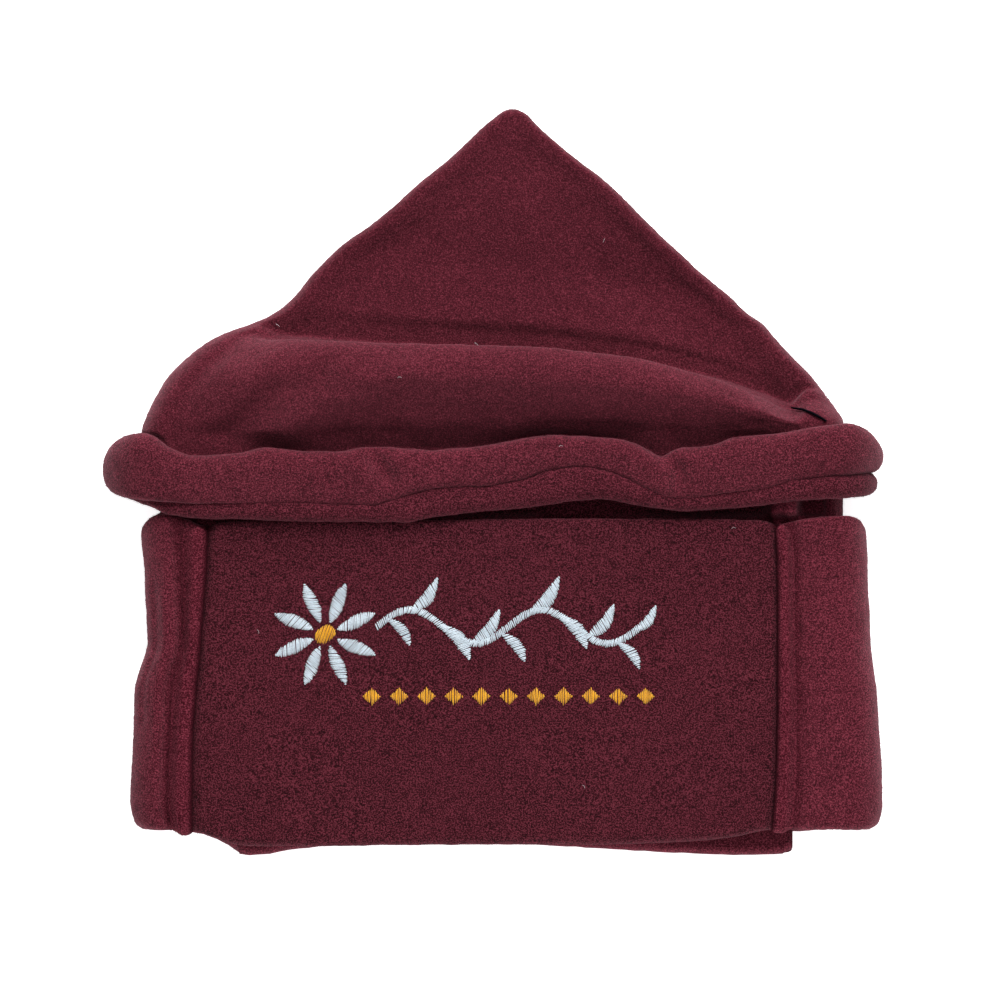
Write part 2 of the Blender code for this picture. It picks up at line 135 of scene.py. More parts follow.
# The front and back welts wrap round the mouth's fold by these shares of a half turn, in this many
# rows, and lose this share of their height on the way.
FRONT_WRAP = 0.9
BACK_WRAP = 0.35
WRAP_ROWS = 14
WRAP_SINKS = 0.4
# A welt's section from -1 to 1: where its top is, how it falls beyond 0, its points over and under, and
# where its buried outer edge begins. WELT_END_LEAST is the least square of its ends' share of its width.
WELT_TOP = -0.1
WELT_FALL = 2.6
WELT_FALL_POWER = 0.6
WELT_OVER = 19
WELT_UNDER = 9
WELT_EDGE = 0.99
WELT_END_LEAST = 0.04
# A welt's nap, a share of the other cloths'
WELT_NAP = 0.6
# How strong the painted shade is in the creases beside the welts, and where across a welt its own painted
# shade sets in
WELT_PAINTED_SHADE = 1.35
WELT_PAINTED_SHADE_STEPS = (0.5, 0.95)
GROOVE_PAINTED_SHADE = 1.3
GROOVE_PAINTED_SHADE_POWER = 1.5
GROOVE_DEPTH = 2.4 * MM
GROOVE_WIDTH = 2.6 * MM
OUTER_DEPTH = 1.4 * MM
OUTER_WIDTH = 2.2 * MM
# Where the outer valley lies, in widths of the welt from its inner edge
OUTER_PLACE = 1.1
BACK_SEAM_X = 111.5 * MM
# How deep a welt's underside lies in the cloth, and its edges as a share of that
WELT_BURIED = 0.7 * MM
EDGE_BURIED = 0.3

# Steps of the surfaces: fine where the camera sees the nap, coarse inside and behind
NAP_STEP = 0.95 * MM
PLAIN_STEP = 4.0 * MM
INNER_STEP = 12.0 * MM
FOLD_STEP = 1.2 * MM
ROLL_FOLD_STEP = 1.1 * MM
# Below this a length counts as none
TINY = 1e-12

# Sides of a lobe's section and how square it is: its far side, and the side at the seam where the crease
# is deep and how much more where the lobes meet flush. 2 is a plain oval.
ROLL_SIDES = 64
ROLL_FAR_POWER = 2.2
ROLL_CREASE_POWER = 2.3
ROLL_FLUSH_POWER = 3.5
# Never nearer than this to dividing by nothing, where a lobe lies level on its fold
LEAST_DOWN = 1e-3

# Rows round a lip and round the mouth's fold, inside and outside
LIP_ROWS_ROUND = 7
FOLD_ROWS_ROUND = 17
SHOWN_BELOW_TOP = 4.0 * MM

# Nap: how far single tufts and soft lumps stand off the cloth, and how wide they are
TUFT_RISE = 0.16 * MM
TUFT_STEP = 1.3 * NAP_STEP
LUMP_RISE = 0.22 * MM
LUMP_SIZE = 7.0 * MM
WAVE_RISE = 0.5 * MM
WAVE_SIZE = 38.0 * MM

# Seeds of each cloth's nap, the welts' being the first of four
SEEDS = {
    "front_panel": 11, "right_side_panel": 21, "back_panel": 31, "left_side_panel": 41,
    "crown_roll": 51, "band_roll": 61, "welts": 71, "crown": 81,
}

# Turns of the band's four seams
SEAM_TURNS = {"front_left": -0.92, "front_right": 0.84, "back_right": 2.14, "back_left": -2.19}

Welt = namedtuple("Welt", "width height")
# The photo's left front welt is a broad soft ridge, its right one a narrower and lower one.
WELTS = {
    "front_left": Welt(WELT_WIDTH, 3.0 * MM),
    "front_right": Welt(6.6 * MM, 2.9 * MM),
    "back_right": Welt(WELT_WIDTH, WELT_PRESSED),
    "back_left": Welt(WELT_WIDTH, WELT_PRESSED),
}


def table(columns, *rows):
    """Columns of numbers by name, from rows of them."""
    return dict(zip(columns.split(), np.array(rows, float).T))


# height: share of CUFF_HEIGHT above the lowest fold. left, right: shares of half of CUFF_WIDTH.
# rim: how far the ring has changed into the rim's own, the cuff's outside only in its depth.
CUFF_ROWS = table(
    "height left right rim",
    (0.00, 0.960, 0.964, 0.0),
    (0.035, 0.978, 0.980, 0.0),
    (0.076, 0.990, 0.995, 0.0),
    (0.13, 0.999, 1.002, 0.0),
    (0.22, 0.997, 1.001, 0.0),
    (0.36, 0.991, 0.991, 0.0),
    (0.48, 0.988, 0.984, 0.0),
    (0.515, 0.981, 0.979, 0.0),
    (0.56, 0.968, 0.974, 0.0),
    (0.60, 0.957, 0.971, 0.0),
    (0.63, 0.9535, 0.970, 0.0),
    (0.77, 0.959, 0.967, 0.1),
    (0.86, 0.962, 0.964, 0.4),
    (0.93, 0.968, 0.961, 0.7),
    (1.00, 0.972, 0.957, 1.0),
)

# The front seams, smoother than the folds beside them: shares of half of CUFF_WIDTH.
SEAM_ROWS = table(
    "height left right",
    (0.00, 0.841, 0.713),
    (0.05, 0.843, 0.715),
    (0.20, 0.843, 0.725),
    (0.35, 0.840, 0.728),
    (0.43, 0.835, 0.730),
    (0.51, 0.829, 0.730),
    (0.59, 0.821, 0.730),
    (0.67, 0.816, 0.730),
    (0.86, 0.803, 0.729),
    (0.95, 0.799, 0.724),
    (1.00, 0.789, 0.717),
)

HEM_STEP_RUN = 0.03
# How far the mouth's fold hangs below the shortest place, as a share of HEM_DROP.
HEM_ROWS = table(
    "turn drop",
    (-3.00, 0.66),
    (-2.50, 0.68),
    (-2.39, 0.77),
    (-2.33, 0.84),
    (-2.26, 0.98),
    (-2.204, 1.00),
    (-2.17, 0.73),
    (-2.14, 0.50),
    (-2.09, 0.22),
    (-2.04, 0.12),
    (-1.50, 0.05),
    (-1.00, 0.04),
    (SEAM_TURNS["front_left"], 0.08),
    (-0.875, 0.17),
    (-0.84, 0.34),
    (-0.79, 0.57),
    (-0.74, 0.63),
    (-0.68, 0.62),
    (-0.30, 0.57),
    (0.30, 0.55),
    (0.55, 0.46),
    (0.70, 0.30),
    (SEAM_TURNS["front_right"], 0.00),
    (1.50, 0.05),
    (SEAM_TURNS["back_right"] - HEM_STEP_RUN, 0.12),
    (SEAM_TURNS["back_right"], 0.76),
    (SEAM_TURNS["back_right"] + 0.008, 0.90),
    (SEAM_TURNS["back_right"] + 0.025, 0.96),
    (2.31, 1.00),
    (2.50, 0.91),
    (3.00, 0.66),
)

# Height of the cuff's upper edge above CUFF_TOP, as a share of LIP_HEIGHT: rounded off on the folds.
LIP_ROWS = table(
    "turn lip",
    (-3.00, 0.15),
    (-2.00, 0.40),
    (-1.75, 0.20),
    (-1.50, -1.10),
    (-1.30, 0.20),
    (-1.14, 0.75),
    (-1.00, 0.70),
    (-0.965, 0.20),
    (-0.93, -0.45),
    (-0.90, -0.20),
    (-0.86, 0.10),
    (-0.50, 0.15),
    (0.00, 0.30),
    (0.40, 0.35),
    (0.70, 0.28),
    (0.80, 0.10),
    (0.84, -0.25),
    (0.88, 0.00),
    (0.94, 0.40),
    (1.00, 0.62),
    (1.14, 0.66),
    (1.30, 0.30),
    (1.50, -0.80),
    (1.75, 0.10),
    (2.00, 0.30),
    (3.00, 0.15),
)

# Upright ripples of the band where it shows between the cuff and the rim: shares of NECK_RIPPLE.
NECK_ROWS = table(
    "turn rise",
    (-3.00, 0.0),
    (-2.00, 0.0),
    (-1.60, -1.7),
    (-1.30, -1.5),
    (-1.00, -0.1),
    (-0.93, -0.7),
    (-0.80, -1.0),
    (-0.70, -1.2),
    (0.10, -1.2),
    (0.22, -0.6),
    (0.42, -0.6),
    (0.52, -1.2),
    (0.75, -1.5),
    (0.805, -1.3),
    (0.85, 1.5),
    (0.91, 1.4),
    (0.945, -1.1),
    (1.01, -1.1),
    (1.07, 0.3),
    (1.30, 0.0),
    (3.00, 0.0),
)

# seam: height of the stitched seam between the lobes, a share of RIM_WAVE.
# upper, lower: heights of the lobes, shares of CROWN_ROLL_HEIGHT and BAND_ROLL_HEIGHT.
# under: depth of the lower lobe, a share of the upper one's. crease: 0 for two lobes that meet flush,
# 1 for two round ones with a deep crease between them.
ROLL_ROWS = table(
    "turn seam upper lower under crease",
    (-3.00, 0.05, 0.95, 0.80, 1.00, 0.8),
    (-2.40, -0.30, 1.00, 0.70, 1.00, 0.8),
    (-2.00, -0.40, 1.10, 0.50, 1.00, 0.8),
    (-1.65, -0.34, 1.00, 0.28, 0.70, 0.9),
    (-1.50, -0.32, 0.95, 0.20, 0.50, 1.0),
    (-1.35, -0.47, 1.17, 0.25, 0.50, 0.6),
    (-1.20, -0.62, 1.257, 0.30, 0.55, 0.2),
    (-1.00, -0.74, 1.04, 0.55, 0.72, 0.1),
    (-0.92, -0.86, 0.91, 0.60, 0.84, 0.1),
    (-0.78, -0.89, 0.98, 0.61, 0.88, 0.2),
    (-0.70, -0.94, 1.12, 0.58, 0.88, 0.2),
    (-0.60, -0.98, 1.08, 0.58, 0.88, 0.2),
    (-0.50, -1.02, 1.07, 0.58, 0.88, 0.3),
    (-0.38, -1.02, 1.16, 0.63, 0.88, 0.4),
    (-0.32, -0.76, 1.06, 0.83, 0.90, 0.6),
    (-0.26, -0.44, 0.91, 1.07, 0.92, 0.6),
    (-0.17, -0.10, 0.76, 1.08, 0.92, 0.5),
    (-0.03, 0.00, 0.80, 0.98, 0.92, 0.5),
    (0.07, 0.28, 0.82, 1.08, 0.92, 0.5),
    (0.17, 0.80, 0.71, 1.30, 0.95, 0.5),
    (0.24, 0.97, 0.63, 1.27, 0.95, 0.5),
    (0.32, 0.78, 0.67, 1.05, 0.95, 0.4),
    (0.40, 0.32, 0.77, 0.86, 0.92, 0.3),
    (0.46, -0.16, 0.80, 0.66, 0.90, 0.2),
    (0.502, -0.48, 0.775, 0.50, 0.90, 0.1),
    (0.54, -0.62, 0.94, 0.47, 0.90, 0.0),
    (0.58, -0.66, 1.02, 0.46, 0.90, 0.0),
    (0.66, -0.48, 1.00, 0.56, 0.88, 0.0),
    (0.73, -0.32, 1.09, 0.60, 0.86, 0.1),
    (0.82, -0.17, 1.08, 0.58, 0.86, 0.2),
    (0.90, 0.22, 1.01, 0.75, 0.86, 0.5),
    (1.00, 0.41, 1.04, 0.80, 0.86, 0.7),
    (1.20, 0.54, 1.03, 0.87, 0.84, 0.9),
    (1.35, 0.62, 0.92, 0.87, 0.86, 1.0),
    (1.50, 0.65, 0.66, 0.86, 0.86, 1.0),
    (1.65, 0.66, 0.85, 0.85, 0.85, 0.9),
    (2.00, 0.55, 0.90, 0.80, 1.00, 0.8),
    (2.50, 0.25, 0.95, 0.80, 1.00, 0.8),
    (3.00, 0.05, 0.95, 0.80, 1.00, 0.8),
)

# Depth of the upper lobe, alike on both sides: full in front, fattest on the folds, pressed behind.
DEPTH_ROWS = table(
    "turn depth",
    (0.0, ROLL_FRONT_DEPTH),
    (0.9, ROLL_FRONT_DEPTH),
    (1.5, ROLL_END_DEPTH),
    (2.0, ROLL_BACK_DEPTH),
    (3.0, ROLL_BACK_DEPTH),
)

# The crown's side folds as they are seen from the front. height: share of CROWN_HEIGHT.
# left, right: how far out the folds are, shares of half of RIM_WIDTH.
EDGE_ROWS = table(
    "height left right",
    (0.00, 1.015, 1.000),
    (0.142, 1.019, 1.000),
    (0.17, 1.012, 1.000),
    (0.21, 0.994, 0.975),
    (0.29, 0.944, 0.910),
    (0.355, 0.873, 0.841),
    (0.40, 0.798, 0.799),
    (0.43, 0.708, 0.769),
    (0.455, 0.647, 0.729),
    (0.49, 0.597, 0.689),
    (0.555, 0.537, 0.604),
    (0.63, 0.453, 0.515),
    (0.70, 0.346, 0.432),
    (0.79, 0.236, 0.331),
    (0.865, 0.132, 0.227),
    (0.914, 0.073, 0.163),
    (0.953, 0.026, 0.116),
    (0.976, -0.007, 0.093),
    (1.00, -0.046, 0.060),
)

# Rows of the crown above its rolled hem, from the hem to the tip.
# left, right: heights of the row's ends, shares of CROWN_HEIGHT.
# thick: from back to front, 0 for CROWN_FLAT_THICKNESS and 1 for RIM_THICKNESS.
# back: height of the back layer off the table, a share of its height at the rim.
# rise, bow, tuck: shares of SLOUCH_RISE, SLOUCH_BOW and SLOUCH_TUCK in the front layer.
CROWN_ROWS = table(
    "step left right thick back rise bow tuck",
    (0, 0.142, 0.150, 1.05, 0.90, 0.28, 0.10, 0.00),
    (1, 0.170, 0.160, 1.15, 0.78, 0.41, 0.20, 0.00),
    (2, 0.205, 0.170, 1.32, 0.55, 0.55, 0.36, 0.00),
    (3, 0.255, 0.181, 1.45, 0.32, 0.77, 0.56, 0.00),
    (4, 0.310, 0.192, 1.42, 0.16, 1.00, 0.80, 0.00),
    (5, 0.360, 0.203, 1.25, 0.06, 1.05, 1.00, 0.00),
    (6, 0.388, 0.214, 1.02, 0.02, 1.04, 1.16, 0.00),
    (7, 0.402, 0.225, 0.82, 0.00, 0.98, 1.24, 0.00),
    (8, 0.412, 0.236, 0.64, 0.00, 0.56, 1.20, 0.45),
    (9, 0.421, 0.247, 0.48, 0.00, 0.33, 1.10, 0.80),
    (10, 0.432, 0.259, 0.20, 0.00, 0.04, 1.02, 0.65),
    (11, 0.450, 0.275, 0.24, 0.00, 0.05, 0.90, 0.00),
    (12, 0.484, 0.315, 0.26, 0.00, 0.12, 0.68, 0.00),
    (13, 0.550, 0.400, 0.14, 0.00, 0.10, 0.36, 0.00),
    (14, 0.650, 0.530, 0.00, 0.00, 0.00, 0.15, 0.00),
    (15, 0.760, 0.670, -0.02, 0.00, 0.00, 0.04, 0.00),
    (16, 0.860, 0.800, -0.04, 0.00, 0.00, 0.00, 0.00),
    (17, 0.940, 0.910, -0.06, 0.00, 0.00, 0.00, 0.00),
    (18, 0.972, 0.968, -0.12, 0.00, 0.00, 0.00, 0.00),
)

LAST_STEP = CROWN_ROWS["step"][-1]

# How the slouch fades across the front layer, from its left fold to its right one.
SLOUCH_ROWS = table(
    "turn rise bow",
    (-1.00, 0.00, 0.00),
    (-0.93, 0.28, -0.13),
    (-0.80, 0.64, 0.04),
    (-0.58, 0.90, 0.24),
    (-0.19, 1.00, 0.62),
    (0.11, 1.00, 0.84),
    (0.34, 0.94, 0.84),
    (0.49, 0.84, 0.65),
    (0.67, 0.66, 0.29),
    (0.83, 0.42, -0.28),
    (0.93, 0.18, -0.68),
    (1.00, 0.00, 0.00),
)

# Soft ridges, and valleys where rise is below 0, from one point to another, in rows of x, y, x, y, rise
# and width. rise and width are shares of LINE_RISE and LINE_WIDTH.
# On the crown x is a share of half of RIM_WIDTH beside the rim's middle, y of CROWN_HEIGHT above it.
SLOUCH_LINES = (
    (-0.800, 0.127, -0.640, 0.247, -3.0, 0.90),
    (-0.640, 0.247, -0.500, 0.297, -2.4, 0.90),
    (-0.763, 0.035, -0.690, 0.100, 3.2, 0.80),
    (-0.690, 0.100, -0.560, 0.172, 3.4, 0.85),
    (-0.560, 0.172, -0.445, 0.225, 3.0, 0.95),
    (-0.445, 0.230, -0.248, 0.302, 2.0, 1.1),
    (-0.620, 0.087, -0.300, 0.117, -1.6, 1.2),
    (0.114, 0.132, 0.388, 0.132, -1.2, 1.2),
    (0.498, 0.132, 0.505, 0.157, -1.4, 0.6),
    (0.620, 0.112, 0.520, 0.262, 1.4, 1.8),
)
CROWN_LINES = (
    (0.110, 0.830, 0.320, 0.570, -1.3, 1.7),
    (0.320, 0.570, 0.530, 0.440, -1.9, 1.7),
    (0.530, 0.440, 0.680, 0.310, -1.6, 1.6),
    (0.680, 0.310, 0.820, 0.220, -1.1, 1.5),
    (-0.190, 0.640, -0.190, 0.560, -0.7, 1.5),
)
# On the cuff x is a turn, y a share of CUFF_HEIGHT.
CUFF_LINES = (
    (-0.995, 0.05, -1.00, 1.00, -0.8, 0.5),
    (-1.09, 0.30, -1.11, 0.85, 0.6, 0.6),
    (-1.13, 0.58, -1.13, 0.76, 0.9, 0.7),
    (-1.25, 0.40, -1.25, 0.80, -0.7, 0.8),
    (0.92, 0.15, 0.91, 0.90, -0.6, 0.7),
    (-0.50, 0.56, -0.15, 0.44, -0.35, 2.0),
    (-0.70, 0.80, 0.60, 0.84, 0.3, 1.5),
    (0.45, 0.15, 0.62, 0.60, -0.35, 2.4),
)
# On the rim x is a turn, y a share of CROWN_ROLL_HEIGHT above the seam where it has no wave.
ROLL_LINES = (
    (0.505, 0.72, 0.557, 0.29, -1.8, 0.52),
    (0.557, 0.29, 0.551, -0.12, -1.7, 0.52),
    (0.551, -0.12, 0.530, -0.30, -1.0, 0.52),
    (0.470, 0.60, 0.505, 0.00, 1.1, 1.2),
    (-0.375, 0.62, -0.330, 0.20, -2.8, 0.7),
    (-0.44, 0.60, -0.41, 0.20, 0.9, 0.9),
    (-0.76, 0.10, -0.55, 0.10, 0.5, 1.6),
    (0.64, 0.45, 0.90, 0.60, 0.5, 1.4),
)


def read(rows, key, name, at):
    """A column of a table read at any value of its key, on a smooth curve that never overshoots."""
    x = rows[key]
    y = rows[name]
    step = np.diff(x)
    slope = np.diff(y) / step
    inner = slope[:-1] * slope[1:] > 0
    share = np.where(inner, slope[:-1] * step[:-1] + slope[1:] * step[1:], 1.0)
    tangent = np.zeros(len(x))
    tangent[1:-1] = inner * (step[:-1] + step[1:]) * slope[:-1] * slope[1:] / share
    at = np.clip(at, x[0], x[-1])
    i = np.clip(np.searchsorted(x, at, side="right") - 1, 0, len(x) - 2)
    t = (at - x[i]) / step[i]
    start = (1 + 2 * t) * (1 - t) ** 2 * y[i] + t * (1 - t) ** 2 * step[i] * tangent[i]
    end = t * t * (3 - 2 * t) * y[i + 1] - t * t * (1 - t) * step[i] * tangent[i + 1]
    return start + end


def ring_point(turn, half_width, half_depth):
    """A flattened ring, straight in front and behind with half circles for folds, and its outward way."""
    side = np.sign(turn)
    size = np.abs(turn)
    angle = pi / 2 - pi * np.clip(size - 1, 0, 1)
    run = np.clip(size, 0, 1) - np.clip(size - 2, 0, 1)
    out_x = side * np.cos(angle)
    out_z = np.sin(angle)
    x = side * run * (half_width - half_depth) + half_depth * out_x
    return x, half_depth * out_z, out_x, out_z


HALF_RUN = (CUFF_WIDTH - CUFF_THICKNESS) / 2
CUFF_TOP = CUFF_HEIGHT / 2
HEM_TOP = -CUFF_HEIGHT / 2 + HEM_DROP * float(read(HEM_ROWS, "turn", "drop", 0.0))
RIM_Y = CUFF_TOP + RIM_RISE
BAND_INSET = WALL + LAYER_GAP
FOLD_RADIUS = BAND_INSET / 2
RIM_BACK = ROLL_BACK_DEPTH + CLEAR


def roll(turn, name):
    """A column of the rim's table at any turn."""
    return read(ROLL_ROWS, "turn", name, turn)


def soft_lines(rows, x, y, size_x, size_y):
    """How far soft lines lift the cloth: each is a bell across its own stretch, round at both ends."""
    ridge = 0.0
    valley = 0.0
    for x1, y1, x2, y2, rise, width in rows:
        start = np.array([x1 * size_x, y1 * size_y])
        run = np.array([x2 * size_x, y2 * size_y]) - start
        share = np.clip(((x - start[0]) * run[0] + (y - start[1]) * run[1]) / (run @ run), 0, 1)
        away = np.hypot(x - start[0] - share * run[0], y - start[1] - share * run[1])
        bell = LINE_RISE * rise * np.exp(-((away / LINE_WIDTH / width) ** 2))
        ridge = np.maximum(ridge, bell)
        valley = np.minimum(valley, bell)
    return ridge + valley


def smooth_step(low, high, at):
    """0 below the low value, 1 above the high one, and an S-curve between them."""
    share = np.clip((at - low) / (high - low), 0, 1)
    return share * share * (3 - 2 * share)


def seam_height(turn):
    """Height of the seam between the rim's lobes: level, with the table's waves."""
    return RIM_Y + RIM_WAVE * roll(turn, "seam")


def roll_depth(turn):
    """Depth of the upper lobe, never so deep that it would pass below the table."""
    size = np.abs(turn)
    down = np.maximum(-np.sin(pi / 2 - pi * np.clip(size - 1, 0, 1)), LEAST_DOWN)
    to_table = (RIM_BACK + RIM_THICKNESS / 2) / down - RIM_THICKNESS / 2 - CLEAR
    return np.minimum(read(DEPTH_ROWS, "turn", "depth", size), to_table)


def press_in(turn):
    """How far the back is pushed in along its two welts, so that they lie flush with the table."""
    near = 0.0
    for name in ("back_left", "back_right"):
        away = (turn - SEAM_TURNS[name]) * HALF_RUN
        near = near + np.exp(-((away / WELT_WIDTH) ** 4))
    return (WELT_PRESSED + CLEAR) * near


def groove(turn):
    """How far the cuff's front sinks along its two welts.

    A bell-shaped groove lies at each seam, where the stitches pull the cloth in, and a shallower one
    beyond the welt's outer edge.
    """
    sunk = 0.0
    for name, side in (("front_left", -1), ("front_right", 1)):
        away = (turn - SEAM_TURNS[name]) * HALF_RUN
        beyond = away - side * (OUTER_PLACE * WELTS[name].width - WELT_OVERHANG)
        sunk = sunk + GROOVE_DEPTH * np.exp(-((away / GROOVE_WIDTH) ** 2))
        sunk = sunk + OUTER_DEPTH * np.exp(-((beyond / OUTER_WIDTH) ** 2))
    return sunk


def seam_shift(turn, share, centre, run):
    """How far the front panel's seams move the cloth beside them, to follow their own smooth path."""
    shift = 0.0
    for name, side, column_name, far in (("front_left", -1, "left", -1), ("front_right", 1, "right", 1)):
        place = side * CUFF_WIDTH / 2 * read(SEAM_ROWS, "height", column_name, share)
        move = place - centre - SEAM_TURNS[name] * run
        ends = sorted([0.0, SEAM_TURNS[name], far])
        shift = shift + move * np.interp(turn, ends, [0, 1, 0])
    seam = SEAM_TURNS["back_right"]
    move = BACK_SEAM_X - centre - (3 - seam) * run
    return shift + move * np.interp(turn, [2.0, seam, 3.0], [0, 1, 0])


def band_point(turn, y, inset):
    """Points at a depth under the cuff's outer surface, which carries on up round the rim's seam."""
    share = (y + CUFF_HEIGHT / 2) / CUFF_HEIGHT
    rim = read(CUFF_ROWS, "height", "rim", share)
    deep = np.clip((inset - WALL) / LAYER_GAP, 0, 1)
    tube = rim * deep
    left = -CUFF_WIDTH / 2 * read(CUFF_ROWS, "height", "left", share)
    right = CUFF_WIDTH / 2 * read(CUFF_ROWS, "height", "right", share)
    left = left + tube * (RIM_SHIFT - RIM_WIDTH / 2 - BAND_INSET - left)
    right = right + tube * (RIM_SHIFT + RIM_WIDTH / 2 + BAND_INSET - right)
    half_width = (right - left) / 2
    half_depth = CUFF_THICKNESS / 2 + rim * (RIM_THICKNESS / 2 + BAND_INSET - CUFF_THICKNESS / 2)
    x, z, out_x, out_z = ring_point(turn, half_width, half_depth)
    centre = (left + right) / 2
    x = x + centre + (1 - tube) * seam_shift(turn, share, centre, half_width - half_depth)
    relief = (1 - deep) * soft_lines(CUFF_LINES, turn * HALF_RUN, y + CUFF_HEIGHT / 2, HALF_RUN, CUFF_HEIGHT)
    neck = smooth_step(CUFF_TOP + NECK_START, CUFF_TOP + NECK_FULL, y) * deep
    relief = relief + neck * NECK_RIPPLE * read(NECK_ROWS, "turn", "rise", turn)
    inward = inset + (1 - rim) * press_in(turn) + (1 - deep) * groove(turn) - relief
    z = z + half_depth + rim * (RIM_BACK - BAND_INSET) - inward * out_z
    return np.stack(np.broadcast_arrays(x - inward * out_x, y, z), -1)


def lip_height(turn):
    """Height of the cuff's upper edge, from its table."""
    return CUFF_TOP + LIP_HEIGHT * read(LIP_ROWS, "turn", "lip", turn)


def hem_bend(turn):
    """Height of the middle of the mouth's fold, which steps down where the back panel begins."""
    step = SEAM_TURNS["back_right"]
    turn = np.where(turn < step, np.minimum(turn, step - HEM_STEP_RUN), turn)
    return HEM_TOP - HEM_DROP * read(HEM_ROWS, "turn", "drop", turn) + WALL / 2 + FOLD_RADIUS


# Large odd numbers that mix a lattice corner's place and a seed into one that looks random
MIX_X = 73856093
MIX_Y = 19349663
MIX_Z = 83492791
MIX_SEED = 2654435761
MIX_AGAIN = 1274126177


def lattice_noise(points, size, seed):
    """Smooth value noise in space, from -1 to 1: random numbers at a lattice's corners, blended between."""
    spot = points / size
    cell = np.floor(spot).astype(np.int64)
    part = spot - cell
    part = part * part * (3 - 2 * part)
    total = 0.0
    for corner in np.ndindex(2, 2, 2):
        at = cell + np.array(corner)
        mixed = at[..., 0] * MIX_X ^ at[..., 1] * MIX_Y ^ at[..., 2] * MIX_Z ^ seed * MIX_SEED
        mixed = (mixed ^ (mixed >> 13)) * MIX_AGAIN & 0x7FFFFFFF
        value = (mixed ^ (mixed >> 16)) / 0x3FFFFFFF - 1
        weight = np.prod(np.where(corner, part, 1 - part), axis=-1)
        total = total + weight * value
    return total


def unit(vectors):
    """Vectors divided by their own lengths."""
    return vectors / np.maximum(np.linalg.norm(vectors, axis=-1, keepdims=True), TINY)


def grid_normals(points, around):
    """Unit normals of a grid of points, from its steps along rows and columns."""
    if around:
        across = np.roll(points, -1, axis=1) - np.roll(points, 1, axis=1)
    else:
        across = np.gradient(points, axis=1)
    return unit(np.cross(across, np.gradient(points, axis=0)))


def brushed(points, around, seed, amount=1.0):
    """A grid moved along its normals by the nap: single tufts, soft lumps and slow waves of the cloth."""
    tuft = lattice_noise(points, TUFT_STEP, seed) * TUFT_RISE
    lump = lattice_noise(points, LUMP_SIZE, seed + 1) * LUMP_RISE
    wave = lattice_noise(points, WAVE_SIZE, seed + 2) * WAVE_RISE
    return points + grid_normals(points, around) * ((tuft + lump + wave) * amount)[..., None]


def grid_faces(rows, columns, around, over):
    """Four-sided faces of a grid, which may join up along its rows and over its columns."""
    j, i = np.meshgrid(np.arange(rows - (not over)), np.arange(columns - (not around)), indexing="ij")
    after = (i + 1) % columns
    above = (j + 1) % rows
    corners = (j * columns + i, j * columns + after, above * columns + after, above * columns + i)
    return np.stack(corners, -1).reshape(-1, 4)


def placed(name, data):
    """A new object in the scene, from a mesh, a light or a camera."""
    made = bpy.data.objects.new(name, data)
    bpy.context.scene.collection.objects.link(made)
    return made


def mesh_object(name, points, quads, fans=(), caps=()):
    """An object from points and faces, none below the table.

    Fans close a loop round a middle point and caps close it flat.
    """
    points = np.array(points, float).reshape(-1, 3)
    points[:, 2] = np.maximum(points[:, 2], 0)
    faces = [tuple(face) for face in quads.tolist()]
    extra = []
    for loop, middle in fans:
        top = len(points) + len(extra)
        extra.append(middle)
        faces.extend((int(a), int(b), top) for a, b in zip(loop, np.roll(loop, -1)))
    faces.extend(tuple(int(v) for v in loop) for loop in caps)
    if extra:
        points = np.concatenate([points, np.array(extra)])
    mesh = bpy.data.meshes.new(name)
    mesh.from_pydata(points.tolist(), [], faces)
    mesh.update()
    if signed_volume(points, quads) < 0:
        mesh.flip_normals()
    mesh.shade_smooth()
    return placed(name, mesh)


def end_fans(points):
    """Both ends of a stack of rings, each to be closed round the middle of its own ring."""
    count, columns = points.shape[:2]
    first = np.arange(columns)
    last = first + (count - 1) * columns
    return (first[::-1], points[0].mean(axis=0)), (last, points[-1].mean(axis=0))


def signed_volume(points, quads):
    """Six times the volume inside the quads, positive where they face outwards."""
    a, b, c, d = (points[quads[:, i]] for i in range(4))
    return np.einsum("ij,ij->i", a, np.cross(b, c)).sum() + np.einsum("ij,ij->i", a, np.cross(c, d)).sum()


def set_darkening(piece, values):
    """Stores how far each vertex is darkened, 0 being none: painted shade in the creases and grooves, and the
    flat triangle's darker tone.

    Vertices beyond the values, such as a fan's middle, take the last one.
    """
    crease = piece.data.attributes.new("crease", "FLOAT", "POINT")
    full = np.full(len(piece.data.vertices), values.ravel()[-1])
    full[:values.size] = values.ravel()
    crease.data.foreach_set("value", full)
    return piece


def dress(piece, material, *nodes):
    """Puts a piece on the hat's body in the fleece's slot, in place of its plain nodes."""
    piece.data.materials.append(material)
    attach(piece, BODY)
    if nodes:
        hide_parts(*nodes)
    return piece


class Value:
    """A shader socket that can be used in an expression: each operator adds a Math node."""

    def __init__(self, shader, socket):
        self.shader = shader
        self.socket = socket

    def math(self, operation, *values, clamp=False):
        """One Math node, its values wired to its sockets in their order."""
        settings = {"operation": operation, "use_clamp": clamp}
        inputs = dict(enumerate(values))
        return self.shader.value("ShaderNodeMath", settings, inputs)

    def __add__(self, other):
        return self.math("ADD", self, other)

    __radd__ = __add__

    def __sub__(self, other):
        return self.math("SUBTRACT", self, other)

    def __rsub__(self, other):
        return self.math("SUBTRACT", other, self)

    def __mul__(self, other):
        return self.math("MULTIPLY", self, other)

    __rmul__ = __mul__

    def __truediv__(self, other):
        return self.math("DIVIDE", self, other)

    def __pow__(self, other):
        return self.math("POWER", self, other)

    def clamped(self):
        """The same value held between 0 and 1."""
        return self.math("ADD", self, 0.0, clamp=True)


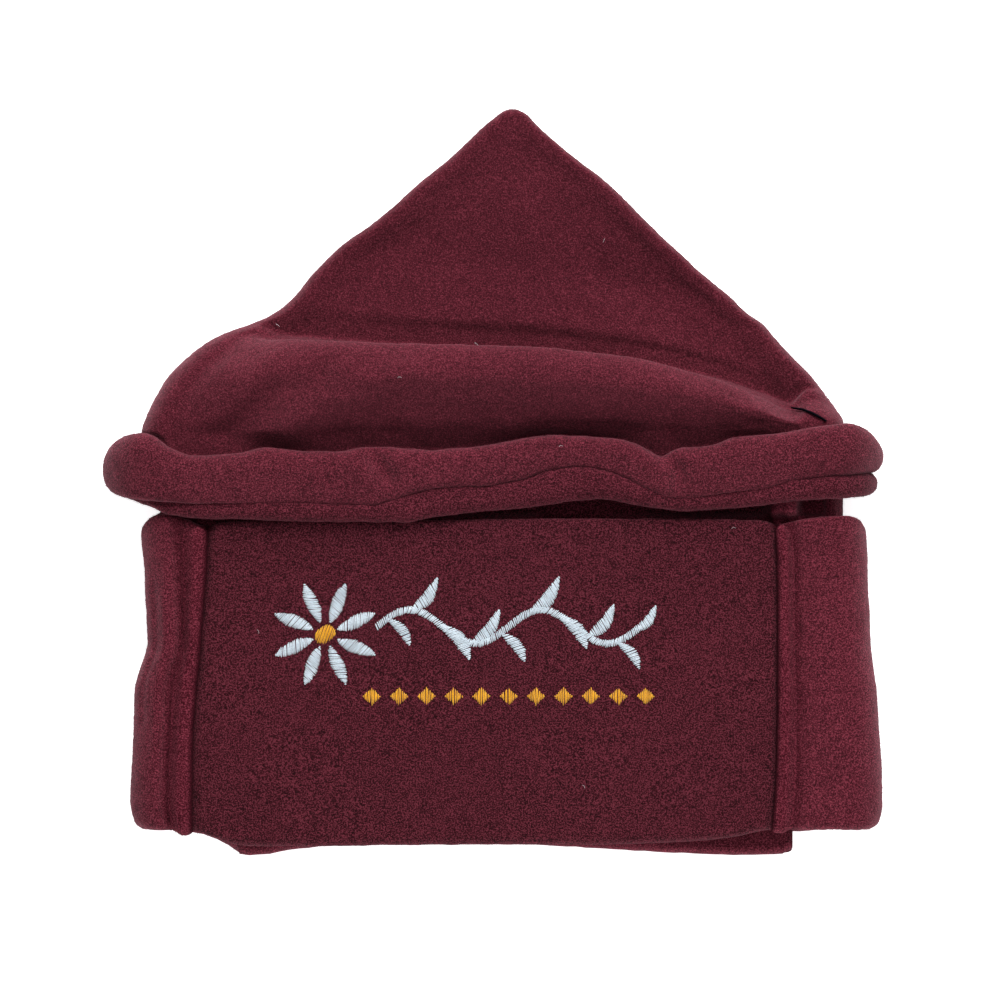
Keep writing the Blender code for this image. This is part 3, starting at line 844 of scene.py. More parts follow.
class Shader:
    """A material's node tree, with one way to add a node and wire it."""

    def __init__(self, name):
        self.material = bpy.data.materials.new(name)
        self.material.use_nodes = True
        self.tree = self.material.node_tree
        self.surface = self.tree.nodes["Principled BSDF"]

    def node(self, kind, settings=None, inputs=None):
        """Any node, from its type, its settings, set first, and the values or links of its sockets."""
        made = self.tree.nodes.new(kind)
        for name, setting in (settings or {}).items():
            if name == "stops":
                self.set_stops(made.color_ramp, setting)
            else:
                setattr(made, name, setting)
        self.fill(made, inputs or {})
        return made

    def fill(self, made, inputs):
        """Gives a node's sockets their values or links."""
        for name, given in inputs.items():
            if isinstance(given, Value):
                self.tree.links.new(given.socket, made.inputs[name])
            else:
                made.inputs[name].default_value = given

    def set_stops(self, ramp, stops):
        """Gives a ramp its places and colours, from low to high."""
        while len(ramp.elements) < len(stops):
            ramp.elements.new(0.5)
        for element, (place, colour) in zip(ramp.elements, stops):
            element.position = place
            element.color = (*colour, 1.0)

    def value(self, kind, settings=None, inputs=None, output=0):
        """One output of a new node."""
        return Value(self, self.node(kind, settings, inputs).outputs[output])

    def noise(self, place, size, detail=2.0, roughness=0.5):
        """Smooth noise from 0 to 1 with lumps of about the given size."""
        inputs = {"Vector": place, "Scale": 1 / size, "Detail": detail, "Roughness": roughness}
        return self.value("ShaderNodeTexNoise", None, inputs)

    def bump(self, height, strength, distance):
        """A normal tilted by the slope of a height."""
        inputs = {"Height": height, "Strength": strength, "Distance": distance}
        return self.value("ShaderNodeBump", None, inputs)

    def place(self):
        """Object coordinates, which are the frame's own metres."""
        return self.value("ShaderNodeTexCoord", output="Object")


# The fleece's colours from its dark pits to its light tips, with the middle one's place between them
FLEECE_PIT = (0.014, 0.0013, 0.0028)
FLEECE_MID = (0.070, 0.0078, 0.0149)
FLEECE_TIP = (0.190, 0.0300, 0.0480)
FLEECE_STOPS = [(0.0, FLEECE_PIT), (0.52, FLEECE_MID), (1.0, FLEECE_TIP)]
FLEECE_SHEEN_TINT = (1.0, 0.55, 0.63, 1.0)
FLEECE_BUMP = 0.12 * MM
# How much of the plain dark surface each unit of the crease attribute mixes in: painted shade in the creases
# and grooves, and the flat triangle's darker tone
DARKENING_MIX = 0.6
# Sizes of its patterns, and how much each of them counts
TUFT_SIZE = 0.60 * MM
FINE_SIZE = 0.34 * MM
CLUMP_SIZE = 3.6 * MM
PATCH_SIZE = 42.0 * MM
TUFT_SHARE = 0.52
FINE_SHARE = 0.42
CLUMP_SHARE = 0.06
PATCH_SHARE = 0.18

# Brightness, grain, sheen and seed of each region's fleece, set apart because the photo shows them so
# brightness sets each region's copy of the one fleece lighter or darker, 0.77 to 1.21 times; on the side
# panels and welts the extra brightness stands in part for painted sheen on their grazing slopes
FLEECES = {
    "front": (0.77, 8.8, 0.12, 0.0),
    "side": (1.21, 5.0, 0.20, 0.1),
    "welt": (1.21, 5.0, 0.05, 0.5),
    "roll": (1.05, 4.6, 0.24, 0.2),
    "lower_roll": (0.86, 5.9, 0.15, 0.4),
    "crown": (0.97, 3.5, 0.24, 0.3),
}


def fleece(name, brightness, grain, sheen, seed):
    """Brushed fleece: fine tufts with dark pits between, in slow patches of laid nap.

    Noises of three sizes add up to the nap's height, which picks the colour with a contrast of the given
    grain and drives the bump. The crease attribute mixes in a plain dark surface with no sheen: painted
    shade in the creases and grooves, and the flat triangle's darker tone.
    """
    shader = Shader(name)
    start = shader.place()
    place = shader.value("ShaderNodeMapping", None, {"Vector": start, "Location": (seed, seed * 0.7, 0.0)})
    tufts = shader.noise(place, TUFT_SIZE, roughness=0.6)
    fine = shader.noise(place, FINE_SIZE, roughness=0.6)
    clumps = shader.noise(place, CLUMP_SIZE, roughness=0.55)
    patches = shader.noise(place, PATCH_SIZE)
    height = tufts * TUFT_SHARE + fine * FINE_SHARE + clumps * CLUMP_SHARE
    contrast = (height - 0.5) * grain + 0.5 + (patches - 0.5) * PATCH_SHARE
    colour = shader.value("ShaderNodeValToRGB", {"stops": FLEECE_STOPS}, {"Fac": contrast.clamped()})
    crease = shader.value("ShaderNodeAttribute", {"attribute_name": "crease"}, output="Fac")
    toned = shader.value("ShaderNodeHueSaturation", None, {"Color": colour, "Value": brightness})
    bump = shader.bump(height, 0.9, FLEECE_BUMP * grain)
    finish = {
        "Base Color": toned, "Normal": bump, "Roughness": 0.96, "Specular IOR Level": 0.05,
        "Sheen Weight": sheen, "Sheen Roughness": 0.5, "Sheen Tint": FLEECE_SHEEN_TINT,
    }
    shader.fill(shader.surface, finish)
    # A plain dark surface with no sheen, mixed in where the crease attribute is set: painted shade in the
    # creases and grooves, and the flat triangle's darker tone
    darkening_surface = {"Base Color": (*FLEECE_PIT, 1.0), "Roughness": 1.0, "Specular IOR Level": 0.0}
    darkening_surface = shader.value("ShaderNodeBsdfPrincipled", None, darkening_surface)
    shown = Value(shader, shader.surface.outputs[0])
    depth = (crease * DARKENING_MIX).clamped()
    mixed = shader.node("ShaderNodeMixShader", None, {0: depth, 1: shown, 2: darkening_surface})
    shader.tree.links.new(mixed.outputs[0], shader.tree.nodes["Material Output"].inputs["Surface"])
    return shader.material


def spaced(first, last, step):
    """Even values from first to last, about a step apart, both ends included."""
    return np.linspace(first, last, max(2, round(abs(last - first) / step) + 1))


def joined(*parts):
    """Stretches of values one after another, each shared end kept once."""
    return np.concatenate([parts[0]] + [part[1:] for part in parts[1:]])


def band_loop(turns):
    """The whole section of the band's cloth, as heights and depths under the cuff's surface.

    It goes up the cuff's outer face, over its rounded lip, down its inner face, round the inside of
    the mouth's fold, up the inner leg to the seam, down its inner face and round the fold outside.
    """
    bend = hem_bend(turns)
    top = seam_height(turns) - CLEAR / 2
    lip = lip_height(turns) - WALL / 2
    path = []

    def run(low, high, inset, shares):
        """Rows at one depth, at the given shares of the way from one height to another."""
        path.extend((low + (high - low) * share, inset + 0 * turns) for share in shares)

    def arc(centre_y, inset, radius, angles):
        """Rows on a circle about a height and a depth."""
        path.extend((centre_y + radius * np.sin(a), inset - radius * np.cos(a)) for a in angles)

    fine = spaced(0, 1, NAP_STEP / CUFF_HEIGHT)
    coarse = spaced(0, 1, INNER_STEP / CUFF_HEIGHT)
    run(bend, lip, 0.0, fine)
    arc(lip, WALL / 2, WALL / 2, np.linspace(0, pi, LIP_ROWS_ROUND)[1:])
    run(lip, bend, WALL, coarse[1:])
    arc(bend, WALL / 2 + FOLD_RADIUS, FOLD_RADIUS - WALL / 2, np.linspace(0, -pi, LIP_ROWS_ROUND)[1:])
    shown = float(((CUFF_TOP - SHOWN_BELOW_TOP - bend) / (top - bend)).mean())
    run(bend, top, BAND_INSET, coarse[1:-1] * shown)
    run(bend, top, BAND_INSET, spaced(shown, 1, NAP_STEP / CUFF_HEIGHT))
    run(top, bend, BAND_INSET + WALL, coarse)
    arc(bend, WALL / 2 + FOLD_RADIUS, FOLD_RADIUS + WALL / 2, np.linspace(-pi, 0, FOLD_ROWS_ROUND)[1:-1])
    return path


def band_piece(name, turns, seed):
    """A strip of the band between two seams, a closed section carried along the turns, shade painted in
    grooves.
    """
    path = band_loop(turns)
    points = np.stack([band_point(turns, y, inset) for y, inset in path])
    points = brushed_loop(points, False, seed)
    rows, columns = points.shape[:2]
    quads = grid_faces(rows, columns, False, True)
    first = np.arange(rows) * columns
    caps = (first[::-1], first + columns - 1)
    # Painted shade, deepest where the grooves beside the welts sink furthest
    sunk = GROOVE_PAINTED_SHADE * np.clip(groove(turns) / GROOVE_DEPTH, 0, 1) ** GROOVE_PAINTED_SHADE_POWER
    return set_darkening(mesh_object(name, points, quads, caps=caps), sunk * np.ones((rows, 1)))


def brushed_loop(points, around, seed):
    """The nap on a section that closes on itself: two rows are borrowed at each end for its normals."""
    wrapped = np.concatenate([points[-2:], points, points[:2]])
    return brushed(wrapped, around, seed)[2:-2]


def whole_turn(fold_step):
    """Turns right round the hat: fine in front, coarse behind, and with the given step on the folds."""
    front = spaced(-1, 1, NAP_STEP / HALF_RUN)
    fold = spaced(1, 2, fold_step)
    back = spaced(2, 3, PLAIN_STEP / HALF_RUN)
    return joined(-back[::-1], -fold[::-1], front, fold, back)[:-1]


def rim_ring(turn):
    """The ring that the rim's lobes stand off, raised clear of the table, and its outward way."""
    x, z, out_x, out_z = ring_point(turn, RIM_WIDTH / 2, RIM_THICKNESS / 2)
    return x + RIM_SHIFT, z + RIM_BACK + RIM_THICKNESS / 2, out_x, out_z


def roll_piece(name, upper, seed):
    """A lobe of the rim: a soft oval section carried round the seam, standing off the hat's side.

    The oval is a superellipse, rounder on its far side and squarer towards the seam, where a stitched
    crease is only as deep as the lobes are round. Soft lines dent its front, the lower lobe reaches a
    little into the upper one, and both are thinner at the rim's right end.
    """
    turn = whole_turn(ROLL_FOLD_STEP / (pi * RIM_THICKNESS))
    deep = roll_depth(turn)
    if upper:
        low = seam_height(turn)
        tall = CROWN_ROLL_HEIGHT * roll(turn, "upper")
    else:
        tall = BAND_ROLL_HEIGHT * roll(turn, "lower") + LOBE_OVERLAP
        low = seam_height(turn) - tall + LOBE_OVERLAP
        deep = deep * roll(turn, "under")
    right_end = np.exp(-(((turn - RIGHT_END_TURN) / RIGHT_END_SPREAD) ** 2))
    deep = deep * (1 - RIGHT_END_SLIM * right_end)
    x, z, out_x, out_z = rim_ring(turn)
    crease_power = ROLL_CREASE_POWER + ROLL_FLUSH_POWER * (1 - roll(turn, "crease"))
    rows = []
    for angle in np.linspace(0, 2 * pi, ROLL_SIDES, endpoint=False):
        to_seam = (np.sin(angle) < 0) == upper
        power = crease_power if to_seam else ROLL_FAR_POWER
        reach = (np.abs(np.cos(angle)) ** power + np.abs(np.sin(angle)) ** power) ** (-1 / power)
        y = low + tall / 2 * (1 + np.sin(angle) * reach)
        ahead = np.clip(-np.cos(angle), 0, 1)
        lift = soft_lines(ROLL_LINES, turn * HALF_RUN, y - RIM_Y, HALF_RUN, CROWN_ROLL_HEIGHT)
        out = TOUCH + deep / 2 * (1 - np.cos(angle) * reach) + ahead * lift
        rows.append(np.stack([x + out * out_x, y, z + out * out_z], -1))
    points = brushed_loop(np.stack(rows), True, seed)
    return mesh_object(name, points, grid_faces(*points.shape[:2], True, True))


def crown_place(side, height):
    """A point on the front of the crown: a share of half of RIM_WIDTH and of CROWN_HEIGHT."""
    return np.array([RIM_SHIFT + RIM_WIDTH / 2 * side, RIM_Y + CROWN_HEIGHT * height])


def crown_lines(rows, x, y):
    """Soft lines at places on the crown, whose tables are in shares of the rim's half and the crown."""
    return soft_lines(rows, x - RIM_SHIFT, y - RIM_Y, RIM_WIDTH / 2, CROWN_HEIGHT)


def edge_puff(inside, width):
    """The side folds stand up a little as soft edges, with a shallow dip along their inner side."""
    puff = EDGE_PUFF * np.exp(-(((inside - EDGE_PUFF_PLACE) / EDGE_PUFF_PLACE) ** 2))
    dip = EDGE_DIP * np.exp(-(((inside - EDGE_DIP_PLACE) / EDGE_DIP_PLACE * 2) ** 2))
    return (puff - dip) * min(1.0, width / EDGE_FULL_WIDTH)


def crown_ring(step, turn, puff, swing, inset, shrink=1.0, squash=1.0, up=0.0):
    """One ring of the crown, level with its two side folds.

    It is a flattened ring from fold to fold, its front lifted, bowed and tucked by the slouch. puff and
    swing are the slouch's shares along it. inset moves it inwards, and at the tip shrink narrows it,
    squash flattens it and up raises it.
    """
    row = {name: float(read(CROWN_ROWS, "step", name, step)) for name in CROWN_ROWS}
    left = crown_place(-read(EDGE_ROWS, "height", "left", row["left"]), row["left"])
    right = crown_place(read(EDGE_ROWS, "height", "right", row["right"]), row["right"])
    middle = (left + right) / 2
    width = np.linalg.norm(right - left)
    along = (right - left) / width
    thick = CROWN_FLAT_THICKNESS + row["thick"] * (RIM_THICKNESS - CROWN_FLAT_THICKNESS)
    x, z, out_x, out_z = ring_point(turn, width / 2, thick / 2)
    x = (x - inset * out_x) * shrink
    z = (z - inset * out_z) * squash
    ahead = np.clip(out_z, 0, 1)
    y = middle[1] + along[1] * x + SLOUCH_BOW * row["bow"] * swing - SLOUCH_TUCK * row["tuck"] * puff
    inside = width / 2 - np.abs(x)
    x = middle[0] + along[0] * x
    y = y + up
    flat = 1 - min(row["rise"], 1)
    relief = smooth_step(0, LINES_FULL, row["rise"]) * puff * crown_lines(SLOUCH_LINES, x, y)
    relief = relief + flat * ahead * (edge_puff(inside, width) + crown_lines(CROWN_LINES, x, y))
    z = z + thick / 2 + RIM_BACK * row["back"] + SLOUCH_RISE * row["rise"] * puff
    return np.stack([x, y, z + relief], -1)


def slouch(turn):
    """How far the slouch rises and how far it bows along a ring, both as shares and both 0 behind."""
    ahead = np.abs(turn) < 1
    return [read(SLOUCH_ROWS, "turn", name, turn) * ahead for name in ("rise", "bow")]


def crown_piece(name, seed):
    """The hollow crown: its hem behind the roll, the slouch and its tuck, then the flat triangle.

    Rings are stacked from the hem to a rounded tip, the inner ones in reverse, so that one grid makes the
    wall from inside to outside. The flat triangle is shaded a little by the crease attribute.
    """
    turn = whole_turn(FOLD_STEP / (pi * CROWN_FLAT_THICKNESS))
    puff, swing = slouch(turn)
    x, z, out_x, out_z = rim_ring(turn)
    bottom = seam_height(turn) + CLEAR / 2
    full = bottom + CROWN_ROLL_HEIGHT * roll(turn, "upper")
    steps = crown_steps()
    outer = []
    inner = []
    for rows, inset, behind, shown in (
        (inner, WALL, np.linspace(0, 1, 3), np.linspace(0, LAST_STEP, INNER_ROWS)),
        (outer, 0.0, spaced(0, 1, NAP_STEP / CROWN_ROLL_HEIGHT), steps),
    ):
        first = crown_ring(0, turn, puff, swing, inset)
        top = np.minimum(full, first[:, 1] - HEM_TO_CROWN)
        for up in behind:
            place = [x - inset * out_x, bottom + up * (top - bottom), z - inset * out_z]
            rows.append(np.stack(place, -1))
        hem = rows[-1]
        bridge = spaced(0, 1, NAP_STEP / HEM_BRIDGE) if rows is outer else np.linspace(0, 1, 3)
        rows.extend(hem + share * (first - hem) for share in bridge[1:-1])
        hem_count = len(rows)
        rows.extend(crown_ring(step, turn, puff, swing, inset) for step in shown)
    for width in TIP_WIDTHS:
        up = 1 - width**2
        outer.append(crown_ring(LAST_STEP, turn, puff, swing, 0.0, width, np.sqrt(1 - up**2), TIP_ROUND * up))
    outer = brushed(np.stack(outer), True, seed)
    inner = np.stack(inner)[::-1]
    points = np.concatenate([inner, outer])
    piece = mesh_object(name, points, grid_faces(*points.shape[:2], True, False), fans=end_fans(points))
    plain = np.zeros(len(inner) + hem_count)
    flat_darker = FLAT_DARKER * smooth_step(*FLAT_DARKER_STEPS, steps)
    tip = np.full(len(TIP_WIDTHS), FLAT_DARKER)
    return set_darkening(piece, np.concatenate([plain, flat_darker, tip])[:, None] * np.ones((1, len(turn))))


def crown_steps():
    """Steps through the crown's rows about a nap's width apart, measured up its middle."""
    probe = np.linspace(0, LAST_STEP, STEP_PROBES)
    turn = np.array([-0.5, 0.0, 0.5])
    puff, swing = slouch(turn)
    line = np.stack([crown_ring(step, turn, puff, swing, 0.0) for step in probe])
    length = np.linalg.norm(np.diff(line, axis=0), axis=-1).mean(axis=1)
    along = np.concatenate([[0], np.cumsum(length)])
    return np.interp(spaced(0, along[-1], NAP_STEP), along, probe)


def welt_profile(across):
    """Height of a seam's ridge across it, from a soft rise at -1 to a rounder, steeper fall beyond 0."""
    fall = np.clip(across, 0, 1)
    return smooth_step(-1.0, WELT_TOP, across) * (1 - fall**WELT_FALL) ** WELT_FALL_POWER


def welt_piece(name, turn, welt, seed):
    """A raised seam: a ridge along the cuff's outside, from under its lip to round the mouth's fold.

    In front it is steep beside the front panel, with painted shade on that side and at that foot. Behind it
    is a low half oval.
    """
    side = np.sign(turn)
    facing = -side if abs(turn) < 1 else 0.0
    offset = (welt.width / 2 - WELT_OVERHANG) / HALF_RUN
    middle = turn + side * (offset if facing else BACK_WELT_OFFSET)
    lip = float(lip_height(turn)) - WELT_BELOW_LIP
    bend = float(hem_bend(turn if facing else middle))
    path = [(y, 0.0, 0.0, -1.0, 1.0) for y in spaced(lip, bend, NAP_STEP)]
    reach = FOLD_RADIUS + WALL / 2
    for angle in np.linspace(0, (FRONT_WRAP if facing else BACK_WRAP) * pi, WRAP_ROWS)[1:]:
        y = bend - reach * np.sin(angle)
        inset = WALL / 2 + FOLD_RADIUS - reach * np.cos(angle)
        low = 1 - WRAP_SINKS * np.sin(min(angle, pi / 2))
        path.append((y, inset, -np.sin(angle), -np.cos(angle), low))
    over = -np.cos(np.linspace(0, pi, WELT_OVER))
    under = np.cos(np.linspace(0, pi, WELT_UNDER))[1:-1]
    across = np.concatenate([over, under])
    if facing:
        height = np.concatenate([welt_profile(over), 0 * under])
    else:
        height = np.concatenate([np.sqrt(1 - over**2), 0 * under])
    below = WELT_BURIED + abs(facing) * GROOVE_DEPTH * (1 + under) / 2
    edge = EDGE_BURIED * WELT_BURIED + abs(facing) * GROOVE_DEPTH * (over > WELT_EDGE)
    sunk = np.concatenate([edge, below])
    rows = []
    for i, (y, inset, out_y, out_inset, low) in enumerate(path):
        end = min(i, len(path) - 1 - i) / WELT_END_ROWS
        slim = np.sqrt(np.clip(1 - (1 - min(end, 1)) ** 2, WELT_END_LEAST, 1))
        turns = middle + slim * welt.width / 2 * across * (facing or 1) / HALF_RUN
        out = welt.height * slim * low * height - sunk
        flush = float(press_in(turn)) - press_in(turns) - groove(turns)
        rows.append(band_point(turns, y + out * out_y, inset + out * out_inset + flush))
    points = brushed(np.stack(rows), True, seed, WELT_NAP)
    piece = mesh_object(name, points, grid_faces(*points.shape[:2], True, False), fans=end_fans(points))
    # Painted shade on the front welts' steep side and underside, where the groove beside the front panel lies
    painted_shade = np.concatenate([smooth_step(*WELT_PAINTED_SHADE_STEPS, over), 0 * under + 1.0])
    return set_darkening(piece, painted_shade * abs(facing) * WELT_PAINTED_SHADE * np.ones((len(points), 1)))


def make_band(cloths):
    """The four strips of the band, each fine where the camera sees it."""
    seams = SEAM_TURNS
    gap = TOUCH / HALF_RUN
    fine = NAP_STEP / HALF_RUN
    plain = PLAIN_STEP / HALF_RUN
    fold = FOLD_STEP / (pi * CUFF_THICKNESS / 2)
    right = joined(
        spaced(seams["front_right"] + gap, 1, fine), spaced(1, 2, fold),
        spaced(2, seams["back_right"] - gap, plain),
    )
    left = joined(
        spaced(seams["back_left"] + gap, -2, plain), spaced(-2, -1, fold),
        spaced(-1, seams["front_left"] - gap, fine),
    )
    behind = joined(
        spaced(seams["back_right"] + gap, 3, plain), spaced(-3, seams["back_left"] - gap, plain),
    )
    front = spaced(seams["front_left"] + gap, seams["front_right"] - gap, fine)
    for name, turns, cloth in (
        ("front_panel", front, "front"), ("right_side_panel", right, "side"),
        ("back_panel", behind, "side"), ("left_side_panel", left, "side"),
    ):
        dress(band_piece(name + "_cloth", turns, SEEDS[name]), cloths[cloth], name)


def make_rim(cloths):
    """The rim's two lobes, which stand for cloth rolled up on itself."""
    for name, upper, cloth in (("crown_roll", True, "roll"), ("band_roll", False, "lower_roll")):
        piece = dress(roll_piece(name + "_cloth", upper, SEEDS[name]), cloths[cloth], name)


def make_welts(cloth):
    """The four raised seams, one at each edge of the front and back panels."""
    for i, (name, turn) in enumerate(SEAM_TURNS.items()):
        welt = welt_piece(name + "_welt_cloth", turn, WELTS[name], SEEDS["welts"] + i)
        dress(welt, cloth, name + "_welt")


# Satin stitch on the cuff's front: a rosette, a vine with leaves and a row of small diamonds
THREAD_PITCH = 0.62 * MM
THREAD_RADIUS = 0.27 * MM
THREAD_STRAY = 0.11 * MM
THREAD_SIDES = 6
THREAD_STATIONS = 7
THREAD_ARCH = 0.42 * MM
THREAD_SUNK = 0.15 * MM
THREAD_LEAN = 0.35
THREAD_ARCH_SHARE = 0.3
THREAD_UNEVEN = 0.05 * MM
# A thread's width at its ends, a share of its full one, and how round a leaf of stitches is
THREAD_END_WIDTH = 0.5
LEAF_ROUND = 0.7
# Dark and light of each thread's twist
WHITE_THREAD = ((0.40, 0.46, 0.52), (0.72, 0.80, 0.86))
MARIGOLD_THREAD = ((0.50, 0.20, 0.003), (0.86, 0.42, 0.008))
BLACK_THREAD = ((0.001, 0.001, 0.002), (0.004, 0.004, 0.006))
PALE_LINT = ((0.35, 0.25, 0.27), (0.75, 0.66, 0.68))
TWIST_SIZE = 0.35 * MM
TWIST_CONTRAST = 2.5
TWIST_BUMP = 0.1 * MM
SLOW_SIZE = 6.0 * MM
SLOW_CONTRAST = 1.2
# How far between dark and light a thread is where both patterns are at their middle
THREAD_TONE = 0.6

ROSETTE_X = -70.0 * MM
ROSETTE_Y = 19.0 * MM
ROSETTE_PETALS = 8
PETAL_START = 5.0 * MM
PETAL_LENGTH = 16.0 * MM
PETAL_WIDTH = 5.2 * MM
HEART_SIZE = 8.0 * MM

VINE_START = -50.0 * MM
VINE_END = 52.0 * MM
VINE_Y = 22.0 * MM
VINE_SWING = 6.5 * MM
VINE_WAVES = 2
VINE_WIDTH = 2.8 * MM
LEAF_LENGTH = 17.0 * MM
LEAF_WIDTH = 5.2 * MM
LEAF_BEND = 0.12
LEAF_LEAN = 0.28 * pi

DIAMOND_START = -52.0 * MM
DIAMOND_END = 54.0 * MM
DIAMOND_Y = -5.0 * MM
DIAMONDS = 11
DIAMOND_LENGTH = 7.0 * MM
DIAMOND_WIDTH = 7.0 * MM

# Rows of place, side and size. place: share of the vine's length. side: 1 above the vine, -1 below.
# size: share of LEAF_LENGTH.
LEAVES = (
    (0.04, -1, 0.80),
    (0.13, 1, 0.95),
    (0.24, -1, 1.05),
    (0.36, 1, 1.00),
    (0.47, -1, 0.85),
    (0.58, 1, 1.05),
    (0.69, -1, 1.00),
    (0.80, 1, 0.95),
    (0.91, -1, 0.80),
    (0.98, 1, 0.75),
)


def tubes(name, lines, radius, sides):
    """Closed tubes along many lines of points at once, each a ring of corners carried along its line."""
    way = unit(np.gradient(lines, axis=1))
    aside = unit(np.cross(np.array([0.0, 0.0, 1.0]), way))
    above = np.cross(way, aside)
    angle = np.arange(sides) * 2 * pi / sides
    ring = aside[:, :, None] * np.cos(angle)[:, None] + above[:, :, None] * np.sin(angle)[:, None]
    points = lines[:, :, None] + ring * radius[:, :, None, None]
    count, stations = lines.shape[:2]
    quads = grid_faces(stations, sides, True, False)
    starts = np.arange(count) * stations * sides
    faces = (quads[None] + starts[:, None, None]).reshape(-1, 4)
    first = starts[:, None] + np.arange(sides)[::-1]
    last = starts[:, None] + (stations - 1) * sides + np.arange(sides)
    return mesh_object(name, points, faces, caps=[*first, *last])


def cuff_height(x, y):
    """Height of the front panel's cloth under points of the cuff, its slow waves included."""
    at_middle = band_point(0 * y, y, 0.0)[..., 0]
    seam = np.where(x < at_middle, SEAM_TURNS["front_left"], SEAM_TURNS["front_right"])
    at_seam = band_point(seam, y, 0.0)[..., 0]
    points = band_point(seam * (x - at_middle) / (at_seam - at_middle), y, 0.0)
    lump = lattice_noise(points, LUMP_SIZE, SEEDS["front_panel"] + 1) * LUMP_RISE
    wave = lattice_noise(points, WAVE_SIZE, SEEDS["front_panel"] + 2) * WAVE_RISE
    return points[..., 2] + lump + wave


def satin(x, y, angle, length, width, bend=0.0, sharp=0.0):
    """Ends of the stitches across a leaf: sharp 0 is a round leaf and 1 a diamond, bend curves its rib."""
    count = max(3, round(length / THREAD_PITCH))
    share = ((np.arange(count) + 0.5) / count)[:, None]
    along = np.array([np.cos(angle), np.sin(angle)])
    aside = np.array([-np.sin(angle), np.cos(angle)])
    rib = np.array([x, y]) + length * (share * along + bend * np.sin(pi * share) * aside)
    round_leaf = np.sin(pi * share) ** LEAF_ROUND
    diamond = 1 - np.abs(2 * share - 1)
    half = width / 2 * (round_leaf + sharp * (diamond - round_leaf))
    reach = half * (aside + THREAD_LEAN * along * (1 - sharp))
    return np.stack([rib - reach, rib + reach], 1)


def vine_point(share):
    """A point of the vine: even steps across and a sine wave up and down."""
    x = VINE_START + share * (VINE_END - VINE_START)
    return x, VINE_Y + VINE_SWING * np.sin(2 * pi * VINE_WAVES * share)


def vine_stitches():
    """Stitches across the vine's wavy stem."""
    share = spaced(0, 1, THREAD_PITCH / (VINE_END - VINE_START))
    x, y = vine_point(share)
    stem = np.stack([x, y], -1)
    way = unit(np.gradient(stem, axis=0))
    reach = VINE_WIDTH / 2 * (np.stack([-way[:, 1], way[:, 0]], -1) + THREAD_LEAN * way)
    return np.stack([stem - reach, stem + reach], 1)


def stitched(name, parts, thread, seed):
    """A motif as one mesh: each stitch arches over the cloth and sinks into it at both ends."""
    ends = np.concatenate(parts)
    rng = np.random.default_rng(seed)
    ends = ends + rng.normal(0, THREAD_STRAY, ends.shape)
    share = np.linspace(0, 1, THREAD_STATIONS)
    flat = ends[:, :1] + share[:, None] * (ends[:, 1:] - ends[:, :1])
    length = np.linalg.norm(ends[:, 1] - ends[:, 0], axis=-1)[:, None]
    arch = np.minimum(THREAD_ARCH, THREAD_ARCH_SHARE * length) * np.sin(pi * share) ** 0.5
    arch = arch + rng.normal(0, THREAD_UNEVEN, (len(ends), 1))
    height = cuff_height(flat[..., 0], flat[..., 1]) + arch - THREAD_SUNK
    lines = np.concatenate([flat, height[..., None]], -1)
    width = THREAD_END_WIDTH + (1 - THREAD_END_WIDTH) * np.sin(pi * share) ** 0.5
    radius = THREAD_RADIUS * width * np.ones((len(ends), 1))
    piece = tubes(name, lines, radius, THREAD_SIDES)
    piece.data.materials.append(thread)
    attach(piece, BODY)


def make_ornament():
    """A generic worked border on the cuff's front, in the photo's two thread colours."""
    white = thread_finish("white_thread", *WHITE_THREAD)
    marigold = thread_finish("marigold_thread", *MARIGOLD_THREAD)
    petals = []
    for i in range(ROSETTE_PETALS):
        angle = 2 * pi * (i + 0.5) / ROSETTE_PETALS
        x = ROSETTE_X + PETAL_START * np.cos(angle)
        y = ROSETTE_Y + PETAL_START * np.sin(angle)
        petals.append(satin(x, y, angle, PETAL_LENGTH, PETAL_WIDTH))
    leaves = []
    for place, side, size in LEAVES:
        x, y = vine_point(place)
        leaves.append(satin(x, y, side * LEAF_LEAN, LEAF_LENGTH * size, LEAF_WIDTH * size, -side * LEAF_BEND))
    diamonds = [satin(ROSETTE_X - HEART_SIZE / 2, ROSETTE_Y, 0.0, HEART_SIZE, HEART_SIZE)]
    for x in np.linspace(DIAMOND_START, DIAMOND_END, DIAMONDS) - DIAMOND_LENGTH / 2:
        diamonds.append(satin(x, DIAMOND_Y, 0.0, DIAMOND_LENGTH, DIAMOND_WIDTH, sharp=1.0))
    stitched("rosette_stitches", petals, white, 1)
    stitched("vine_stitches", [vine_stitches(), *leaves], white, 2)
    stitched("diamond_stitches", diamonds, marigold, 3)


def thread_finish(name, dark, light, sheen=0.2):
    """Twisted thread: two noises, fine and slow, shade it between dark and light with a slight sheen."""
    shader = Shader(name)
    place = shader.place()
    streaks = shader.noise(place, TWIST_SIZE)
    slow = shader.noise(place, SLOW_SIZE, detail=1.0)
    tone = ((streaks - 0.5) * TWIST_CONTRAST + (slow - 0.5) * SLOW_CONTRAST + THREAD_TONE).clamped()
    colour = shader.value("ShaderNodeValToRGB", {"stops": [(0.0, dark), (1.0, light)]}, {"Fac": tone})
    finish = {
        "Base Color": colour, "Normal": shader.bump(streaks, 0.5, TWIST_BUMP), "Roughness": 0.55,
        "Sheen Weight": sheen, "Specular IOR Level": sheen,
    }
    shader.fill(shader.surface, finish)
    return shader.material


